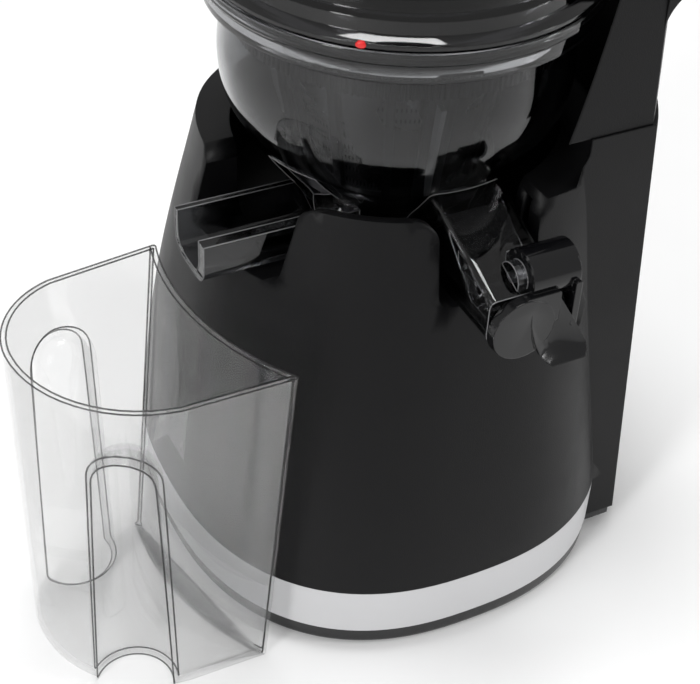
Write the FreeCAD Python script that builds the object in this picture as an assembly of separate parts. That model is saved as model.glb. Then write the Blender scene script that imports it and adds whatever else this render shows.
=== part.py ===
import FreeCAD, Part
import math
import os

from FreeCAD import Vector

# Vertical slow juicer: a tapered round base with a rear tower, a bowl with a pulp chute and a
# juice spout, a screw auger in a strainer, a lid with a feed tube, and a clear pulp container.
# Millimetres. The origin is on the drive axis, on the surface the juicer stands on.
# +Z is up, +X points to the tower and -Y to the juice spout.

# ---- body -------------------------------------------------------------------------------
BODY_PLAN = [  # height, half length, half width, squareness and shift towards the tower
    (29.2, 88.4, 94.8, 2.42, -2.6),
    (76.0, 84.5, 86.8, 2.40, -2.4),
    (124.0, 82.0, 77.5, 2.35, 2.0),
    (173.0, 77.5, 71.3, 2.30, 9.1),
    (194.0, 74.5, 69.0, 2.30, 10.5),
]
WALL = 3.0                # moulded wall of the body
BAND_LOW = 8.4            # metal band, lower and upper edge
BAND_HIGH = 29.2
BAND_THICK = 1.6
DECK_Z = 144.0            # floor of the pocket that the bowl stands in
POCKET_RADIUS = 59.0
POCKET_SHIFT = 1.0
WALL_TOP = 173.0          # top of the high wall at the back and left
TAB_TOP = 177.0           # top of the front tab between chute and spout
CHUTE_NOTCH = (-43.0, 5.5, 146.8)     # y range and floor height
SPOUT_NOTCH = (-17.8, 18.9, 144.4)    # x range and floor height
NOTCH_OPEN = 80.0         # how far each notch cutter reaches above its floor
SHELL_FIT = 0.2           # clearance between the body and the band
FOOT_RADIUS = 8.0
FOOT_DEPTH = 1.8          # recess of each round foot, and the height of its pad
REAR_FOOT_RADIUS = 6.5
REAR_FOOT_HEIGHT = 4.6    # the tower's tongue sits this high
SCREW_PLACES = [(-66.0, 34.0), (-66.0, -34.0), (20.0, 72.0), (20.0, -72.0)]
FOOT_PLACES = [(0.0, 0.0), (-58.0, 54.0), (-58.0, -54.0), (36.0, 76.0), (36.0, -76.0)]
REAR_FOOT_PLACES = [(80.0, 56.0), (80.0, -56.0)]
VENT_OFFSETS = (-36.0, -28.0, -20.0, 17.0, 25.0, 33.0)

# ---- tower ------------------------------------------------------------------------------
SEAM_Z = 194.0            # joint between the body moulding and the tower cover
TOWER_LOW_Z = 9.0
TOWER_LOW_HALF = 70.6     # half width at the bottom and at the seam
TOWER_SEAM_HALF = 67.4
TOWER_LOW_REAR = 77.5     # rear corner at the bottom and at the seam
TOWER_SEAM_REAR = 64.5
REAR_BULGE = 26.0
TOWER_TOP_Z = 264.0
SEAM_CREASE_X = 38.6      # front corner of the tower at the seam
COVER_FRONT_RADIUS = 72.6
COVER_TOP_HALF = 62.0
GRIP_HALF_WIDTH = 64.6    # half width of the carrying grip
GRIP_REACH = 58.0         # how far it stands out behind the tower
SWITCH_X = 100.4          # face of the switch at the rear of the tower
SWITCH_Z = 62.0
INLET_Z = 30.0

# ---- bowl -------------------------------------------------------------------------------
BOWL_WALL = 2.2
BOWL_BASE_Z = 144.6
FLANGE_LOW_Z = 225.6
FLANGE_TOP_Z = 238.0
FLANGE_RADIUS = 70.0
BOWL_OUTER = [  # radius and height up the wall
    (37.0, 146.5),
    (40.5, 158.0),
    (48.0, 168.0),
    (55.0, 178.0),
    (60.6, 190.0),
    (62.4, 203.0),
    (60.0, 224.0),
]

# ---- chute and spout --------------------------------------------------------------------
CHUTE_Y = (-35.5, -9.5)
CHUTE_Z = (147.4, 164.0)
CHUTE_END_X = -87.0
CHUTE_WALL_FRONT = 4.5
CHUTE_WALL_REAR = 2.2
SPOUT_X = (-12.8, 13.8)
SPOUT_SIDE = [(-26.0, 145.4), (-95.0, 145.4), (-95.0, 161.3), (-58.0, 175.6), (-44.0, 178.0), (-26.0, 178.0)]
SPOUT_PASSAGE = [  # y and height of the juice way
    (-30.0, 147.6),
    (-110.0, 147.6),
    (-110.0, 153.0),
    (-82.0, 153.0),
    (-60.0, 171.4),
    (-30.0, 175.0),
]
SPOUT_END_Y = -95.0
SPOUT_WALL = 2.2
CAP_PIVOT_Y = -88.2
CAP_PIVOT_Z = 163.7
CAP_PIVOT_X = (2.0, 20.0)
CAP_PIN_RADIUS = 2.0
CAP_DISC = (-1.0, 149.5, 12.0)        # centre x, centre z and radius of the stopper
CAP_GAP = 0.4

# ---- strainer and auger -----------------------------------------------------------------
STRAINER_LOW = (33.5, 162.0)          # outer radius and height at the bottom and the top
STRAINER_HIGH = (44.0, 221.0)
RIB_DEPTH = 2.4
AUGER_LOW_Z = 164.0
AUGER_TOP_Z = 218.0
AUGER_CORE_LOW = 22.0
AUGER_CORE_TOP = 16.5
AUGER_TWIST = 4.4         # turn of the flights from bottom to top, in radians
AUGER_CLEAR = 3.9         # from the flights to the strainer's outer face

# ---- lid, feed tube, pusher -------------------------------------------------------------
LID_TOP_Z = 262.0
TUBE_CENTRE = (12.0, 6.0)
TUBE_RADIUS = 27.0
TUBE_TOP_Z = 368.0
PUSHER_LOW_Z = 306.0
PUSHER_TOP_Z = 426.0
TUBE_WALL = 2.4
DOT_ANGLE = -128.3        # where the locking mark stands, in degrees from the tower
DOT_RADIUS = 1.8

# ---- pulp container ---------------------------------------------------------------------
CUP_HEIGHT = 137.0
CUP_WALL = 1.8
CUP_MID_Y = -34.9
GRIP_HALF = 14.4          # half width of each finger recess at its foot
GRIP_TOP_Z = 104.0

# ---- drive ------------------------------------------------------------------------------
GEAR_CLEAR = 0.16         # flank clearance of each gear
MODULE_FIRST = 1.25
MODULE_SECOND = 1.5
PINION_TEETH = 12
IDLER_TEETH = 48
IDLER_PINION_TEETH = 14
OUTPUT_TEETH = 42
IDLER_X = MODULE_SECOND * (IDLER_PINION_TEETH + OUTPUT_TEETH) / 2
MOTOR_X = IDLER_X - MODULE_FIRST * (PINION_TEETH + IDLER_TEETH) / 2
BRUSH_MODULE = 1.0
AUGER_GEAR_TEETH = 32
BRUSH_PINION_TEETH = 14
BRUSH_RING_TEETH = 60
PINION_ORBIT = BRUSH_MODULE * (AUGER_GEAR_TEETH + BRUSH_PINION_TEETH) / 2
PINION_ANGLE = 60.0
MOTOR_AXIS = (MOTOR_X, 0.0)
IDLER_AXIS = (IDLER_X, 0.0)
MOTOR_RADIUS = 36.0
MOTOR_CAN_WALL = 2.4
STACK_Z = (32.0, 72.0)    # laminated stack of the motor
MOTOR_SHAFT_RADIUS = 4.0
IDLER_PIN_RADIUS = 3.0
OUTPUT_RADIUS = 8.0
HEX_HALF = 6.4            # half the width across the flats of the driver
HEX_FIT = 0.1
TRAY_LOW_Z = 86.0
TRAY_TOP_Z = 126.0

BIG = 400.0
Z_AXIS = Vector(0, 0, 1)


# ---- helpers ----------------------------------------------------------------------------
def box(x, y, z):
    """A block from three (low, high) ranges."""
    return Part.makeBox(x[1] - x[0], y[1] - y[0], z[1] - z[0], Vector(x[0], y[0], z[0]))


def cylinder(radius, z_low, z_high, centre=(0.0, 0.0)):
    return Part.makeCylinder(radius, z_high - z_low, Vector(centre[0], centre[1], z_low))


def tube(outer, inner, z_low, z_high, centre=(0.0, 0.0)):
    return cylinder(outer, z_low, z_high, centre).cut(cylinder(inner, z_low - 1, z_high + 1, centre))


def cone(radius_low, radius_high, z_low, z_high, centre=(0.0, 0.0)):
    return Part.makeCone(radius_low, radius_high, z_high - z_low, Vector(centre[0], centre[1], z_low))


def join(shapes):
    whole = shapes[0]
    for shape in shapes[1:]:
        whole = whole.fuse(shape)
    return whole.removeSplitter()


def polygon(points):
    return Part.makePolygon(list(points) + [points[0]])


def prism(points, z_low, z_high):
    """A straight prism on a plan outline."""
    face = Part.Face(polygon([Vector(x, y, z_low) for x, y in points]))
    return face.extrude(Vector(0, 0, z_high - z_low))


def revolve(points):
    """A turned solid from (radius, height) points."""
    face = Part.Face(polygon([Vector(r, 0, z) for r, z in points]))
    return face.revolve(Vector(0, 0, 0), Z_AXIS, 360)


def turned(shape, degrees, centre=(0.0, 0.0)):
    copy = shape.copy()
    copy.rotate(Vector(centre[0], centre[1], 0), Z_AXIS, degrees)
    return copy


def rounded_bar(x, y, z, radius, direction):
    """A block whose four edges along one axis are rounded."""
    block = box(x, y, z)
    edges = [e for e in block.Edges if abs(abs(e.tangentAt(e.FirstParameter).dot(direction)) - 1) < 1e-6]
    return block.makeFillet(radius, edges)


def involute_flank(base, radius):
    """Angle of an involute of the base circle where it reaches a radius, in radians."""
    grow = math.acos(min(1.0, base / radius))
    return math.tan(grow) - grow


def gear_outline(teeth, module, addendum, dedendum, thin):
    """Plan points of an involute gear, with a tooth centred on +X."""
    pitch = module * teeth / 2
    base = pitch * math.cos(math.radians(20))
    tip = pitch + addendum
    root = pitch - dedendum
    half = math.pi / (2 * teeth) - thin / pitch + involute_flank(base, pitch)
    points = []
    for tooth in range(teeth):
        middle = 2 * math.pi * tooth / teeth
        side = []
        for step in range(4):
            radius = max(base, root) + (tip - max(base, root)) * step / 3
            side.append((radius, half - involute_flank(base, radius)))
        if root < base:
            side.insert(0, (root, half))
        for radius, angle in side:
            points.append((radius * math.cos(middle - angle), radius * math.sin(middle - angle)))
        for radius, angle in reversed(side):
            points.append((radius * math.cos(middle + angle), radius * math.sin(middle + angle)))
    return points


def gear(teeth, module, z_low, z_high, turn=0.0, centre=(0.0, 0.0)):
    outline = gear_outline(teeth, module, 0.95 * module, 1.2 * module, GEAR_CLEAR)
    blank = turned(prism(outline, z_low, z_high), turn)
    blank.translate(Vector(centre[0], centre[1], 0))
    return blank


def save(name, shape):
    shape.exportStep("parts/%s.step" % name)


# ---- outer forms ------------------------------------------------------------------------
def section_wire(height, half_x, half_y, power, shift, inset):
    """A smooth rounded-square plan section."""
    points = []
    for step in range(36):
        angle = 2 * math.pi * step / 36
        across = math.copysign(abs(math.cos(angle)) ** (2 / power), math.cos(angle))
        along = math.copysign(abs(math.sin(angle)) ** (2 / power), math.sin(angle))
        points.append(Vector(shift + (half_x - inset) * across, (half_y - inset) * along, height))
    curve = Part.BSplineCurve()
    curve.interpolate(Points=points, PeriodicFlag=True)
    return Part.Wire(curve.toShape())


def foot_form(inset, z_low, z_high):
    """The straight foot of the body, round the band and the base."""
    height, half_x, half_y, power, shift = BODY_PLAN[0]
    face = Part.Face(section_wire(z_low, half_x, half_y, power, shift, inset))
    return face.extrude(Vector(0, 0, z_high - z_low))


def round_form(inset, z_low, z_high):
    """The tapered body, drawn in by a wall and cut to a height range."""
    wires = [section_wire(*section, inset) for section in BODY_PLAN]
    upper = Part.makeLoft(wires, True, False)
    upper = upper.common(box((-BIG, BIG), (-BIG, BIG), (max(z_low, BAND_HIGH), z_high)))
    if z_low >= BAND_HIGH:
        return upper
    return upper.fuse(foot_form(inset, z_low, BAND_HIGH))


def tower_section(height, half, rear, bulge, inset):
    """Plan outline of the tower: straight sides and a bowed rear."""
    front = 12.0
    corners = [Vector(front, -half + inset, height), Vector(rear - inset, -half + inset, height)]
    crown = Vector(rear + bulge - inset, 0, height)
    far = [Vector(rear - inset, half - inset, height), Vector(front, half - inset, height)]
    edges = [Part.LineSegment(corners[0], corners[1]).toShape()]
    edges.append(Part.Arc(corners[1], crown, far[0]).toShape())
    edges.append(Part.LineSegment(far[0], far[1]).toShape())
    edges.append(Part.LineSegment(far[1], corners[0]).toShape())
    return Part.Wire(edges)


def tower_form(inset, z_low, z_high):
    sections = [
        tower_section(TOWER_LOW_Z, TOWER_LOW_HALF, TOWER_LOW_REAR, REAR_BULGE, inset),
        tower_section(SEAM_Z, TOWER_SEAM_HALF, TOWER_SEAM_REAR, REAR_BULGE - 2.0, inset),
    ]
    form = Part.makeLoft(sections, True, True)
    return form.common(box((-BIG, BIG), (-BIG, BIG), (z_low, z_high)))


def rise_profile(start_z, notch_x):
    """Side outline above the wall top: level, then an S-curve up to the tower's front corner."""
    far = -150.0
    high = 260.0
    crown = Vector(notch_x, 0, start_z - 6.5)
    shoulder = Vector(notch_x + 5.8, 0, start_z + 2.0)
    mid = Vector(notch_x + 12.8, 0, start_z + 4.0)
    corner = Vector(SEAM_CREASE_X, 0, SEAM_Z - 3.0)
    edges = [
        Part.LineSegment(Vector(far, 0, start_z), Vector(notch_x - 8.0, 0, start_z)).toShape(),
        Part.LineSegment(Vector(notch_x - 8.0, 0, start_z), Vector(notch_x - 8.0, 0, crown.z)).toShape(),
        Part.LineSegment(Vector(notch_x - 8.0, 0, crown.z), crown).toShape(),
        Part.Arc(crown, Vector(notch_x + 1.6, 0, start_z - 1.4), shoulder).toShape(),
        Part.LineSegment(shoulder, mid).toShape(),
        Part.Arc(mid, Vector(notch_x + 17.6, 0, start_z + 7.2), corner).toShape(),
        Part.LineSegment(corner, Vector(SEAM_CREASE_X, 0, high)).toShape(),
        Part.LineSegment(Vector(SEAM_CREASE_X, 0, high), Vector(far, 0, high)).toShape(),
        Part.LineSegment(Vector(far, 0, high), Vector(far, 0, start_z)).toShape(),
    ]
    return Part.Face(Part.Wire(edges))


def corner_block(direction, edge, top, radius, towards):
    """What rounds a wall's upper corner off, along a direction; towards is the wall's side."""
    span = (min(edge, edge + towards * radius), max(edge, edge + towards * radius))
    middle = edge + towards * radius
    if direction == "x":
        block = box((-BIG, -30), span, (top - radius, top + 1))
        round_bar = Part.makeCylinder(radius, BIG, Vector(-BIG, middle, top - radius), Vector(1, 0, 0))
    else:
        block = box(span, (-BIG, -30), (top - radius, top + 1))
        round_bar = Part.makeCylinder(radius, BIG, Vector(middle, -BIG, top - radius), Vector(0, 1, 0))
    return block.cut(round_bar)


def main_shell():
    """The body moulding: round foot and tower in one, with the bowl's pocket and two notches."""
    outer = round_form(0.0, BAND_HIGH, SEAM_Z).fuse(tower_form(0.0, TOWER_LOW_Z, SEAM_Z))
    skirt = foot_form(BAND_THICK + 1.5 * SHELL_FIT, BAND_LOW, BAND_HIGH + 2.0)
    skirt = skirt.cut(foot_form(BAND_THICK + 2.6, BAND_LOW - 1, BAND_HIGH + 3.0))
    front = rise_profile(TAB_TOP, SPOUT_NOTCH[1]).extrude(Vector(0, -150, 0))
    back = rise_profile(WALL_TOP, SPOUT_NOTCH[1]).extrude(Vector(0, 150, 0))
    outer = outer.cut(front).cut(back)
    outer = outer.cut(cylinder(COVER_FRONT_RADIUS + 4, TAB_TOP, BIG))
    hollow = round_form(WALL, 0.0, DECK_Z - WALL)
    chamber = tower_form(WALL, 0.0, SEAM_Z + 1)
    chamber = chamber.cut(cylinder(POCKET_RADIUS + WALL + POCKET_SHIFT, DECK_Z - WALL, BIG))
    chamber = chamber.cut(cylinder(COVER_FRONT_RADIUS + 4 + WALL, TAB_TOP - WALL, BIG))
    outer = outer.cut(hollow).cut(chamber)
    outer = outer.cut(cylinder(POCKET_RADIUS, DECK_Z, BIG, (POCKET_SHIFT, 0.0)))
    behind_tab = round_form(WALL, DECK_Z + 3.0, SEAM_Z)
    outer = outer.cut(behind_tab.common(box((-80, SPOUT_NOTCH[0] + 1), (-90, CHUTE_NOTCH[0] + 1), (0, BIG))))
    y_low, y_high, floor = CHUTE_NOTCH
    chute_way = rounded_bar((-120, -20), (y_low, y_high), (floor, floor + NOTCH_OPEN), 5.0, Vector(1, 0, 0))
    outer = outer.cut(chute_way)
    outer = outer.cut(corner_block("x", y_low, TAB_TOP, 5.0, -1))
    outer = outer.cut(corner_block("x", y_high, WALL_TOP, 5.0, 1))
    x_low, x_high, floor = SPOUT_NOTCH
    spout_way = rounded_bar((x_low, x_high), (-120, -20), (floor, floor + NOTCH_OPEN), 4.0, Vector(0, 1, 0))
    outer = outer.cut(spout_way)
    outer = outer.cut(corner_block("y", x_low, TAB_TOP, 8.0, -1))
    outer = outer.cut(cylinder(9.2, DECK_Z - WALL - 1, DECK_Z + 1))
    skirt = skirt.cut(box((tower_crease_x(), BIG), (-BIG, BIG), (0, BIG)))
    switch_hole = box((70, 120), (-9.2, 9.2), (SWITCH_Z - 12.2, SWITCH_Z + 12.2))
    inlet_hole = Part.makeCylinder(6.0, 60, Vector(70, 0, INLET_Z), Vector(1, 0, 0))
    band_space = foot_form(0.0, BAND_LOW, BAND_HIGH).cut(foot_form(BAND_THICK + SHELL_FIT, 0, 40))
    band_space = band_space.common(box((-BIG, tower_crease_x() - 0.5), (-BIG, BIG), (0, BIG)))
    return outer.fuse(skirt).cut(switch_hole).cut(inlet_hole).cut(band_space).removeSplitter()


def tower_crease_x():
    """Where the round foot meets the tower's flat side."""
    height, half_x, half_y, power, shift = BODY_PLAN[0]
    share = (1 - (TOWER_LOW_HALF / half_y) ** power) ** (1 / power)
    return shift + half_x * share


def trim_band():
    ring = foot_form(0.0, BAND_LOW + 0.1, BAND_HIGH - 0.1).cut(foot_form(BAND_THICK, BAND_LOW, BAND_HIGH))
    return ring.cut(box((tower_crease_x() - 0.6, BIG), (-BIG, BIG), (0, BIG)))


def base_plate():
    """The floor of the body: a dished plate with a tongue under the tower and vent slots."""
    plate = foot_form(0.4, 1.0, BAND_LOW - 0.1)
    rim = [e for e in plate.Edges if e.BoundBox.ZMax < 1.5]
    plate = plate.makeFillet(2.2, rim)
    section = tower_section(REAR_FOOT_HEIGHT, TOWER_LOW_HALF - 1.2, TOWER_LOW_REAR - 1.2, REAR_BULGE, 0.0)
    tongue = Part.Face(section).extrude(Vector(0, 0, BAND_LOW - 0.1 - REAR_FOOT_HEIGHT))
    plate = plate.fuse(tongue).cut(foot_form(7.0, 4.2, 20.0))
    for offset in VENT_OFFSETS:
        plate = plate.cut(box((-28, 28), (offset, offset + 3.0), (0, 10)))
    for place in SCREW_PLACES:
        plate = plate.cut(cylinder(2.2, 0, 10, place))
    for place in FOOT_PLACES:
        plate = plate.cut(cylinder(FOOT_RADIUS, 0, FOOT_DEPTH, place))
    for place in REAR_FOOT_PLACES:
        plate = plate.cut(cylinder(REAR_FOOT_RADIUS, 0, REAR_FOOT_HEIGHT, place))
    return plate.removeSplitter()


def base_screws():
    """Pan-head screws from below into the body's bosses."""
    screws = []
    for x, y in SCREW_PLACES:
        head = cylinder(3.6, 0.4, 1.0, (x, y))
        shank = cylinder(1.9, 1.0, 15.5, (x, y))
        screws.append(head.fuse(shank).removeSplitter())
    return Part.makeCompound(screws)


def feet():
    pads = [cylinder(FOOT_RADIUS, 0.0, FOOT_DEPTH, place) for place in FOOT_PLACES]
    pads += [cylinder(REAR_FOOT_RADIUS, 0.0, REAR_FOOT_HEIGHT, place) for place in REAR_FOOT_PLACES]
    return Part.makeCompound(pads)


# ---- tower cover and handle -------------------------------------------------------------
def cover_form(inset, z_low, z_high):
    low = tower_section(SEAM_Z, TOWER_SEAM_HALF - 0.7, TOWER_SEAM_REAR - 1.4, REAR_BULGE, inset)
    top_z = TOWER_TOP_Z + 6.0
    high = tower_section(top_z, COVER_TOP_HALF, TOWER_SEAM_REAR - 3.0, REAR_BULGE, inset)
    form = Part.makeLoft([low, high], True, True)
    return form.common(box((-BIG, BIG), (-BIG, BIG), (z_low, z_high)))


def tower_cover():
    """Hollow cover over the tower, hugging the bowl's flange with a round front."""
    front = cone(COVER_FRONT_RADIUS, COVER_FRONT_RADIUS + 6.0, 190.0, TOWER_TOP_Z + 2.0)
    outer = cover_form(0.0, SEAM_Z + 0.1, TOWER_TOP_Z).cut(front)
    outer = outer.cut(box((-BIG, 29.0), (-BIG, BIG), (0, BIG)))
    inner = cover_form(2.6, SEAM_Z, TOWER_TOP_Z - 2.6).cut(cylinder(COVER_FRONT_RADIUS + 9.0, 0, BIG))
    return outer.cut(inner).removeSplitter()


def carry_handle():
    """A full-width grip behind the tower's top, with a slot for the fingers."""
    half = GRIP_HALF_WIDTH
    start = TOWER_SEAM_REAR - 2.6
    back = start + GRIP_REACH
    top = TOWER_TOP_Z
    corners = [
        Vector(start, 0, 229.0),
        Vector(start + 14.0, 0, 242.5),
        Vector(back - 7.0, 0, 248.0),
        Vector(back - 7.0, 0, top),
        Vector(start, 0, top),
    ]
    edges = [Part.Arc(corners[0], Vector(start + 4.6, 0, 238.0), corners[1]).toShape()]
    edges.append(Part.LineSegment(corners[1], corners[2]).toShape())
    edges.append(Part.Arc(corners[2], Vector(back, 0, (248.0 + top) / 2), corners[3]).toShape())
    edges.append(Part.LineSegment(corners[3], corners[4]).toShape())
    edges.append(Part.LineSegment(corners[4], corners[0]).toShape())
    grip = Part.Face(Part.Wire(edges)).extrude(Vector(0, 2 * half, 0))
    grip.translate(Vector(0, -half, 0))
    slot = rounded_bar((back - 27.0, back - 13.0), (-half + 22, half - 22), (200, 300), 6.0, Z_AXIS)
    return grip.cut(slot).cut(cover_form(-0.05, SEAM_Z, TOWER_TOP_Z + 5)).removeSplitter()


# ---- controls ---------------------------------------------------------------------------
def switch_bezel():
    """Switch housing: a box inside the wall and a thin frame outside it."""
    frame = box((SWITCH_X - 4.0, SWITCH_X + 2.4), (-11.5, 11.5), (SWITCH_Z - 14.5, SWITCH_Z + 14.5))
    frame = frame.cut(tower_form(-0.05, 30, 100))
    core = box((SWITCH_X - 20.0, SWITCH_X + 2.4), (-9.0, 9.0), (SWITCH_Z - 12.0, SWITCH_Z + 12.0))
    pocket = box((SWITCH_X - 9.0, SWITCH_X + 20.0), (-7.0, 7.0), (SWITCH_Z - 10.0, SWITCH_Z + 10.0))
    return frame.fuse(core).cut(pocket).removeSplitter()


def rocker():
    """Three-position rocker, centred on off."""
    pivot = (SWITCH_X - 2.0, SWITCH_Z)
    left = Vector(pivot[0] + 6.6, -6.5, pivot[1] - 8.6)
    middle = Vector(pivot[0] + 4.8, -6.5, pivot[1])
    right = Vector(pivot[0] + 6.6, -6.5, pivot[1] + 8.6)
    low = Vector(pivot[0] - 3.0, -6.5, pivot[1] + 4.0)
    end = Vector(pivot[0] - 3.0, -6.5, pivot[1] - 4.0)
    edges = [Part.LineSegment(left, middle).toShape(), Part.LineSegment(middle, right).toShape()]
    edges += [Part.LineSegment(right, low).toShape(), Part.LineSegment(low, end).toShape()]
    edges.append(Part.LineSegment(end, left).toShape())
    return Part.Face(Part.Wire(edges)).extrude(Vector(0, 13.0, 0))


def cord_inlet():
    """Bushing where a mains lead would enter."""
    axis = Vector(1, 0, 0)
    body = Part.makeCylinder(5.9, 16.0, Vector(90.0, 0, INLET_Z), axis)
    collar = Part.makeCylinder(8.0, 6.0, Vector(100.0, 0, INLET_Z), axis).cut(tower_form(-0.05, 12, 60))
    bore = Part.makeCylinder(3.2, 40.0, Vector(80.0, 0, INLET_Z), axis)
    return body.fuse(collar).cut(bore).removeSplitter()


# ---- motor and gears --------------------------------------------------------------------
def motor_can():
    can = tube(MOTOR_RADIUS, MOTOR_RADIUS - MOTOR_CAN_WALL, 24.0, 80.0, MOTOR_AXIS)
    top = tube(MOTOR_RADIUS, 6.6, 80.0, 83.0, MOTOR_AXIS)
    return can.fuse(top).removeSplitter()


def motor_stator():
    """Laminated stack with six salient poles."""
    ring = tube(33.4, 27.5, *STACK_Z, MOTOR_AXIS)
    for pole in range(6):
        arm = box((MOTOR_X + 22.2, MOTOR_X + 29.0), (-4.5, 4.5), STACK_Z)
        ring = ring.fuse(turned(arm, 60.0 * pole, MOTOR_AXIS))
    return ring.removeSplitter()


def motor_windings():
    coils = []
    for pole in range(6):
        outer = box((MOTOR_X + 23.2, MOTOR_X + 26.0), (-7.4, 7.4), (29.0, 75.0))
        outer = outer.cut(box((MOTOR_X + 20.0, MOTOR_X + 30.0), (-4.6, 4.6), (31.9, 72.1)))
        coils.append(turned(outer, 60.0 * pole, MOTOR_AXIS))
    return Part.makeCompound(coils)


def motor_rotor():
    return tube(21.6, MOTOR_SHAFT_RADIUS, 33.0, 71.0, MOTOR_AXIS)


def motor_shaft():
    return cylinder(MOTOR_SHAFT_RADIUS, 17.0, 99.0, MOTOR_AXIS)


def motor_bearings():
    rings = [tube(9.0, 4.05, 76.0, 79.9, MOTOR_AXIS), tube(9.0, 4.05, 24.5, 28.5, MOTOR_AXIS)]
    return Part.makeCompound(rings)


def motor_lower_bracket():
    """Open spider that holds the lower bearing."""
    hub = tube(12.0, 9.0, 22.0, 28.5, MOTOR_AXIS)
    rim = tube(MOTOR_RADIUS, MOTOR_RADIUS - MOTOR_CAN_WALL, 20.0, 23.9, MOTOR_AXIS)
    for arm in range(4):
        bar = box((MOTOR_X + 11.0, MOTOR_X + 34.5), (-3.0, 3.0), (20.0, 23.0))
        hub = hub.fuse(turned(bar, 45.0 + 90.0 * arm, MOTOR_AXIS))
    return hub.fuse(rim).removeSplitter()


def cooling_fan():
    hub = tube(7.0, MOTOR_SHAFT_RADIUS, 13.0, 19.0, MOTOR_AXIS)
    for blade in range(7):
        vane = box((MOTOR_X + 6.0, MOTOR_X + 29.0), (-0.8, 0.8), (13.0, 18.6))
        hub = hub.fuse(turned(vane, 360.0 / 7 * blade, MOTOR_AXIS))
    return hub.removeSplitter()


def motor_pinion():
    blank = gear(PINION_TEETH, MODULE_FIRST, 100.0, 112.0, 0.0, MOTOR_AXIS)
    stub = cylinder(MOTOR_SHAFT_RADIUS, 99.0, 100.0, MOTOR_AXIS)
    return blank.fuse(stub).removeSplitter()


def idler_gear():
    """Large wheel driven by the motor pinion, with a small pinion above it."""
    half_pitch = 180.0 / IDLER_TEETH
    wheel = gear(IDLER_TEETH, MODULE_FIRST, 101.0, 110.0, half_pitch, IDLER_AXIS)
    small_half = 180.0 / IDLER_PINION_TEETH
    small = gear(IDLER_PINION_TEETH, MODULE_SECOND, 110.0, 125.0, small_half, IDLER_AXIS)
    return wheel.fuse(small).cut(cylinder(IDLER_PIN_RADIUS + 0.05, 90, 140, IDLER_AXIS)).removeSplitter()


def idler_pin():
    return cylinder(IDLER_PIN_RADIUS, 92.0, 134.0, IDLER_AXIS)


def output_gear():
    wheel = gear(OUTPUT_TEETH, MODULE_SECOND, 112.5, 123.5)
    return wheel.cut(cylinder(OUTPUT_RADIUS, 90, 140)).removeSplitter()


def output_shaft():
    """Journal in the gearbox and a hexagonal driver above the deck."""
    journal = cylinder(OUTPUT_RADIUS, 112.5, 150.0)
    return journal.fuse(hexagon(HEX_HALF, 150.0, 172.0)).removeSplitter()


def hexagon(apothem, z_low, z_high):
    reach = apothem / math.cos(math.radians(30))
    points = []
    for corner in range(6):
        angle = math.radians(60 * corner)
        points.append((reach * math.cos(angle), reach * math.sin(angle)))
    return prism(points, z_low, z_high)


def output_bushing():
    return tube(12.0, OUTPUT_RADIUS + 0.05, 127.5, 138.0)


def shaft_seal():
    """Lip seal in the deck round the driver."""
    return tube(9.1, OUTPUT_RADIUS + 0.05, DECK_Z - WALL - 2.5, DECK_Z + 0.2)


def gearbox_tray():
    """Open tray that carries the motor below and the gear pins above."""
    floor = prism(gearbox_outline(0.0), TRAY_LOW_Z, 90.0)
    rim = prism(gearbox_outline(0.0), 90.0, TRAY_TOP_Z).cut(prism(gearbox_outline(3.0), 89.0, 127.0))
    tray = floor.fuse(rim).cut(cylinder(6.6, 80, 92, MOTOR_AXIS))
    tray = tray.fuse(tube(7.5, IDLER_PIN_RADIUS, 90.0, 100.4, IDLER_AXIS))
    tray = tray.fuse(tube(MOTOR_RADIUS, 31.0, 83.0, TRAY_LOW_Z, MOTOR_AXIS))
    return tray.removeSplitter()


def gearbox_cover():
    lid = prism(gearbox_outline(0.0), 126.1, 130.1)
    lid = lid.fuse(tube(16.0, 12.0, 130.1, 138.0)).cut(cylinder(12.0, 120, 140))
    lid = lid.fuse(tube(7.5, IDLER_PIN_RADIUS, 130.1, 134.0, IDLER_AXIS))
    lid = lid.cut(cylinder(IDLER_PIN_RADIUS, 120, 140, IDLER_AXIS))
    return lid.removeSplitter()


def gearbox_outline(inset):
    """Plan of the gearbox: two round ends joined by tangents."""
    left = 38.0 - inset
    right = 38.5 - inset
    points = []
    for step in range(25):
        angle = math.radians(90 + 7.5 * step)
        points.append((left * math.cos(angle), left * math.sin(angle)))
    for step in range(25):
        angle = math.radians(-90 + 7.5 * step)
        points.append((IDLER_X + right * math.cos(angle), right * math.sin(angle)))
    return points


def gearbox_posts():
    """Four posts from the gearbox up to the underside of the deck."""
    posts = []
    for x, y in [(-28.0, 17.0), (-28.0, -17.0), (52.0, 20.0), (52.0, -20.0)]:
        posts.append(cylinder(4.0, 130.1, DECK_Z - WALL, (x, y)))
    return Part.makeCompound(posts)


def control_board():
    """Speed control board standing in the tower chamber."""
    board = box((80.0, 81.6), (-26.0, 26.0), (141.0, 184.0))
    parts = [board]
    for y, z, size in [(-18, 145, 7), (4, 148, 6), (12, 160, 6), (-12, 163, 5)]:
        parts.append(box((80.0 - size * 0.7, 80.0), (y, y + size), (z, z + size)))
    return join(parts)


def reed_switch():
    """Interlock sensor behind the front of the tower cover."""
    return box((COVER_FRONT_RADIUS + 9.5, COVER_FRONT_RADIUS + 12.5), (-8.0, 8.0), (238.0, 244.0))


# ---- bowl -------------------------------------------------------------------------------
def bowl_profile(inset):
    return [(radius - inset, height) for radius, height in BOWL_OUTER]


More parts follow.
